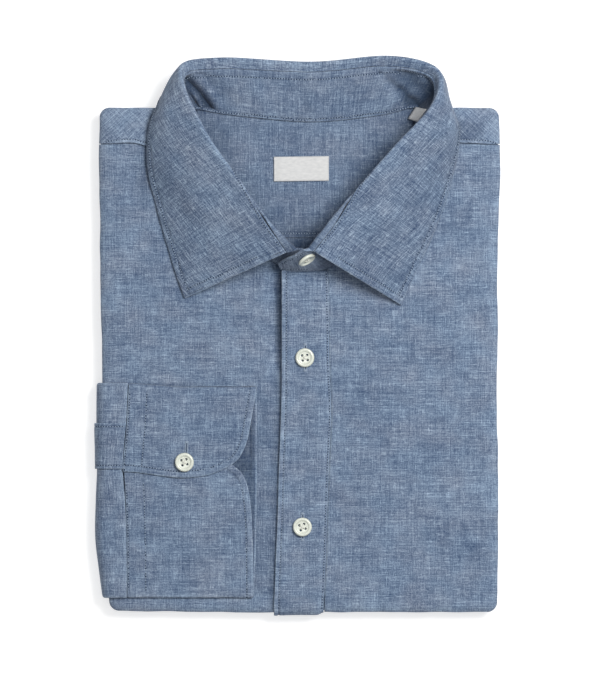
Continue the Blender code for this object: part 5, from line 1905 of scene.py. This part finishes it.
class ShirtStageSettings(bpy.types.PropertyGroup):
    floor: colour_setting("Floor", "Colour of the floor", 0.62, 0.62, 0.62)
    camera_height: size_setting("Camera Height", "How far the camera is above the floor", 12)
    view_width: size_setting("View Width", "Width that the camera takes in", 0.36)
    key_power: power_setting("Main Light", "Power of the main light in watts", 28)
    fill: power_setting("Fill Light", "Strength of the light all round", 0.2)
    top_power: power_setting("Top Light", "Power of the light above in watts", 7)


def cloth_finish(kind):
    """The finish of one kind of cloth, made once and shared by its pieces."""
    name = "chambray " + kind
    settings = bpy.context.scene.shirt_cloth
    if name in bpy.data.materials:
        return bpy.data.materials[name]
    if kind == "inside":
        dark, pale, warp_share, weft_share = settings.inside_dark, settings.inside_pale, 0.62, 0.34
    else:
        dark, pale, warp_share, weft_share = settings.dark, settings.pale, 0.46, 0.54
    return chambray(name, tuple(dark), tuple(pale), tuple(settings.faded), warp_share, weft_share,
                    1.25 if kind == "collar" else 1)


def thread_finishes():
    settings = bpy.context.scene.shirt_cloth
    if "sewing thread" not in bpy.data.materials:
        sewing_thread("sewing thread", tuple(settings.thread), 0.72)
        # The needle holes' finish is painted shade.
        hole_shade_finish("needle hole", tuple(settings.hole))
    return bpy.data.materials["sewing thread"], bpy.data.materials["needle hole"]


# Each sheet's node, slot and finish, its cut laid flat in metres, and what it rests on.
SHEETS = table(
    "piece node slot finish width length area rests_on",
    ("folded_layers", "folded_core", "chambray_inside", "inside", 0.24, 0.33, None, None),
    ("left_front_cloth", "left_front", "chambray", "cloth", 0.145, 0.31, 0.04, "folded_layers"),
    ("right_front_cloth", "right_front", "chambray", "cloth", 0.125, 0.31, 0.031, "folded_layers"),
    ("yoke_left_cloth", "yoke_left_shoulder", "chambray", "cloth", 0.075, 0.045, 0.0022,
     "folded_layers"),
    ("yoke_right_cloth", "yoke_right_shoulder", "chambray", "cloth", 0.07, 0.045, 0.0017,
     "folded_layers"),
    ("yoke_inside_cloth", "yoke_inside", "chambray_inside", "inside", 0.125, 0.078, 0.0068,
     "folded_layers"),
    ("back_inside_cloth", "back_inside", "chambray_inside", "inside", 0.07, 0.02, 0.0009,
     "folded_layers"),
    ("placket_cloth", "placket_band", "chambray", "cloth", 0.032, 0.215, None,
     "left_front_cloth"),
    ("collar_stand_cloth", "collar_stand", "chambray_inside", "inside", 0.4, 0.03, None,
     "yoke_inside_cloth"),
    ("collar_leaf_cloth", "collar_leaf", "chambray", "collar", 0.46, 0.085, 0.027,
     "left_front_cloth"),
    ("sleeve_cloth", "sleeve_end", "chambray", "cloth", 0.26, 0.036, None, "left_front_cloth"),
    ("sleeve_placket_cloth", "sleeve_placket", "chambray", "cloth", 0.028, 0.032, None,
     "sleeve_cloth"),
    ("cuff_cloth", "cuff", "chambray", "cloth", 0.078, 0.31, None, "left_front_cloth"),
    ("neck_label_tape", "neck_label", "label", "tape", 0.033, 0.0148, None, "yoke_inside_cloth"),
    ("size_tag_tape", "size_tag", "label", "tape", 0.0105, 0.011, None, "collar_stand_cloth"),
)
MADE = {}


def lay(*things, tape=None):
    """Gives each sheet its finish and body, hides the node it stands for, and keeps it by name."""
    for thing in things:
        sheet = next(row for row in SHEETS if row.piece == thing.name)
        seat(thing, [sheet.node], sheet.slot, tape or cloth_finish(sheet.finish))
        "laid" if sheet.node == "neck_label" else "folded"
        MADE[thing.name] = thing


# ---- operators
class SHIRT_OT_core(bpy.types.Operator):
    """Make the folded layers under the fronts"""
    bl_idname = "shirt.core"
    bl_label = "Folded Layers"

    def execute(self, context):
        lay(build_core())
        return {"FINISHED"}


class SHIRT_OT_fronts(bpy.types.Operator):
    """Make the two fronts and the yoke over each shoulder"""
    bl_idname = "shirt.fronts"
    bl_label = "Fronts and Shoulders"

    def execute(self, context):
        lay(build_front(-1), build_front(1), build_yoke_shoulder(-1), build_yoke_shoulder(1))
        return {"FINISHED"}


class SHIRT_OT_inside(bpy.types.Operator):
    """Make the inner yoke and the back seen inside the neck"""
    bl_idname = "shirt.inside"
    bl_label = "Yoke and Back Inside"

    def execute(self, context):
        lay(build_yoke_inside(), build_back_inside())
        return {"FINISHED"}


class SHIRT_OT_placket(bpy.types.Operator):
    """Make the buttoned band down the front"""
    bl_idname = "shirt.placket"
    bl_label = "Placket Band"

    def execute(self, context):
        lay(build_band())
        return {"FINISHED"}


class SHIRT_OT_collar(bpy.types.Operator):
    """Make the collar's stand and leaf with their stitching"""
    bl_idname = "shirt.collar"
    bl_label = "Collar"

    def execute(self, context):
        stand, stand_sections = build_stand()
        leaf, leaf_sections = build_leaf()
        lay(stand, leaf)
        sew_leaf(leaf, leaf_sections)
        sew_stand(stand, stand_sections)
        return {"FINISHED"}


class SHIRT_OT_sleeve(bpy.types.Operator):
    """Make the sleeve's end, its placket strip and the cuff"""
    bl_idname = "shirt.sleeve"
    bl_label = "Sleeve and Cuff"

    def execute(self, context):
        lay(build_sleeve(), build_gauntlet(), build_cuff())
        return {"FINISHED"}


class SHIRT_OT_sewing(bpy.types.Operator):
    """Sew the body's seams and the buttonholes"""
    bl_idname = "shirt.sewing"
    bl_label = "Stitching"

    def execute(self, context):
        for name, jobs in (
                ("body_stitches", (("placket_cloth", band_lines()),
                                   ("yoke_left_cloth", [yoke_line(-1)]),
                                   ("yoke_right_cloth", [yoke_line(1)]),
                                   ("yoke_inside_cloth", [inner_yoke_line()]))),
                ("cuff_stitches", (("cuff_cloth", cuff_lines()),
                                   ("sleeve_placket_cloth", gauntlet_lines())))):
            sewing = Sewing()
            for piece, lines in jobs:
                sewing.on(MADE[piece])
                for line in lines:
                    sewing.drop(line)
            sewing.finish(name)
        holes = Sewing()
        for row in BUTTONHOLES:
            holes.on(MADE[row.piece]).buttonhole(row.x, row.y, row.half_length, row.lean)
        holes.finish("buttonholes")
        return {"FINISHED"}


class SHIRT_OT_buttons(bpy.types.Operator):
    """Make the four buttons and the threads that hold them"""
    bl_idname = "shirt.buttons"
    bl_label = "Buttons"

    def execute(self, context):
        settings = context.scene.shirt_trim
        build_buttons(pearl("button resin", tuple(settings.pearl)),
                      sewing_thread("button thread", tuple(settings.cotton), 0.8))
        return {"FINISHED"}


class SHIRT_OT_labels(bpy.types.Operator):
    """Make the bare neck label and the bare size tag"""
    bl_idname = "shirt.labels"
    bl_label = "Label and Tag"

    def execute(self, context):
        settings = context.scene.shirt_trim
        tape = woven_tape("label tape", tuple(settings.tape), tuple(settings.tape_rib))
        lay(build_label(), build_tag(), tape=tape)
        return {"FINISHED"}


VIEW_CENTRE = (0.00213, -0.00141)
SENSOR_WIDTH = 36
KEY_RISE, KEY_TURN = math.radians(60), math.radians(36)


def soft_light(context, name, size, power, colour, spot):
    light = bpy.data.lights.new(name, "AREA")
    light.shape = "DISK"
    light.size = size
    light.energy = power
    light.color = colour
    lamp = bpy.data.objects.new(name, light)
    lamp.location = spot
    lamp.rotation_euler = spot.to_track_quat("Z", "Y").to_euler()
    context.collection.objects.link(lamp)


class SHIRT_OT_stage(bpy.types.Operator):
    """Set out the floor, the soft lights and the camera"""
    bl_idname = "shirt.stage"
    bl_label = "Stage"

    def execute(self, context):
        settings = context.scene.shirt_stage
        deselect_all()
        bpy.ops.mesh.primitive_plane_add(size=4, location=(0, 0, -0.0002))
        floor = context.object
        floor.name = "floor"
        floor.data.materials.append(plain_floor("plain floor", tuple(settings.floor)))
        floor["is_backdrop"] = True
        world = bpy.data.worlds.new("studio")
        world.use_nodes = True
        background = world.node_tree.nodes["Background"]
        background.inputs[0].default_value = (0.985, 0.99, 1, 1)
        background.inputs[1].default_value = settings.fill
        context.scene.world = world
        level = math.cos(KEY_RISE)
        way = Vector((level * math.cos(KEY_TURN), level * math.sin(KEY_TURN), math.sin(KEY_RISE)))
        soft_light(context, "main light", 0.75, settings.key_power, (1, 0.99, 0.97), way * 1.7)
        soft_light(context, "top light", 1.3, settings.top_power, (1, 1, 1), Vector((0, 0, 1.5)))
        camera = bpy.data.cameras.new("camera")
        camera.sensor_fit = "HORIZONTAL"
        camera.sensor_width = SENSOR_WIDTH
        camera.lens = SENSOR_WIDTH * (settings.camera_height - 0.02) / settings.view_width
        camera.clip_end = 100
        holder = bpy.data.objects.new("camera", camera)
        holder.location = (*VIEW_CENTRE, settings.camera_height)
        context.collection.objects.link(holder)
        context.scene.camera = holder
        context.scene.view_settings.view_transform = "Standard"
        return {"FINISHED"}


class SHIRT_PT_panel(bpy.types.Panel):
    """Lists the shirt's pieces"""
    bl_idname = "SHIRT_PT_panel"
    bl_label = "Folded Chambray Shirt"
    bl_space_type = "VIEW_3D"
    bl_region_type = "UI"
    bl_category = "Shirt"

    def draw(self, context):
        layout = self.layout
        for operator in OPERATORS:
            layout.operator(operator.bl_idname)
        for name in ("shirt_cloth", "shirt_trim", "shirt_stage"):
            settings = getattr(context.scene, name)
            for key in settings.__annotations__:
                layout.prop(settings, key)


OPERATORS = (
    SHIRT_OT_core, SHIRT_OT_fronts, SHIRT_OT_inside, SHIRT_OT_placket, SHIRT_OT_collar,
    SHIRT_OT_sleeve, SHIRT_OT_sewing, SHIRT_OT_buttons, SHIRT_OT_labels, SHIRT_OT_stage)
SETTINGS = (
    ("shirt_cloth", ShirtClothSettings), ("shirt_trim", ShirtTrimSettings),
    ("shirt_stage", ShirtStageSettings))


def register():
    for name, group in SETTINGS:
        bpy.utils.register_class(group)
        setattr(bpy.types.Scene, name, bpy.props.PointerProperty(type=group))
    for operator in OPERATORS:
        bpy.utils.register_class(operator)
    bpy.utils.register_class(SHIRT_PT_panel)


def unregister():
    bpy.utils.unregister_class(SHIRT_PT_panel)
    for operator in reversed(OPERATORS):
        bpy.utils.unregister_class(operator)
    for name, group in reversed(SETTINGS):
        delattr(bpy.types.Scene, name)
        bpy.utils.unregister_class(group)


def main():
    register()
    for operator in OPERATORS:
        group, name = operator.bl_idname.split(".")
        getattr(getattr(bpy.ops, group), name)()
    sizes = {name: [[float(value) for value in corner] for corner in box]
             for name, box in (("cad", CAD_BOX), ("visual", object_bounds()))}


if __name__ == "__main__":
    main()
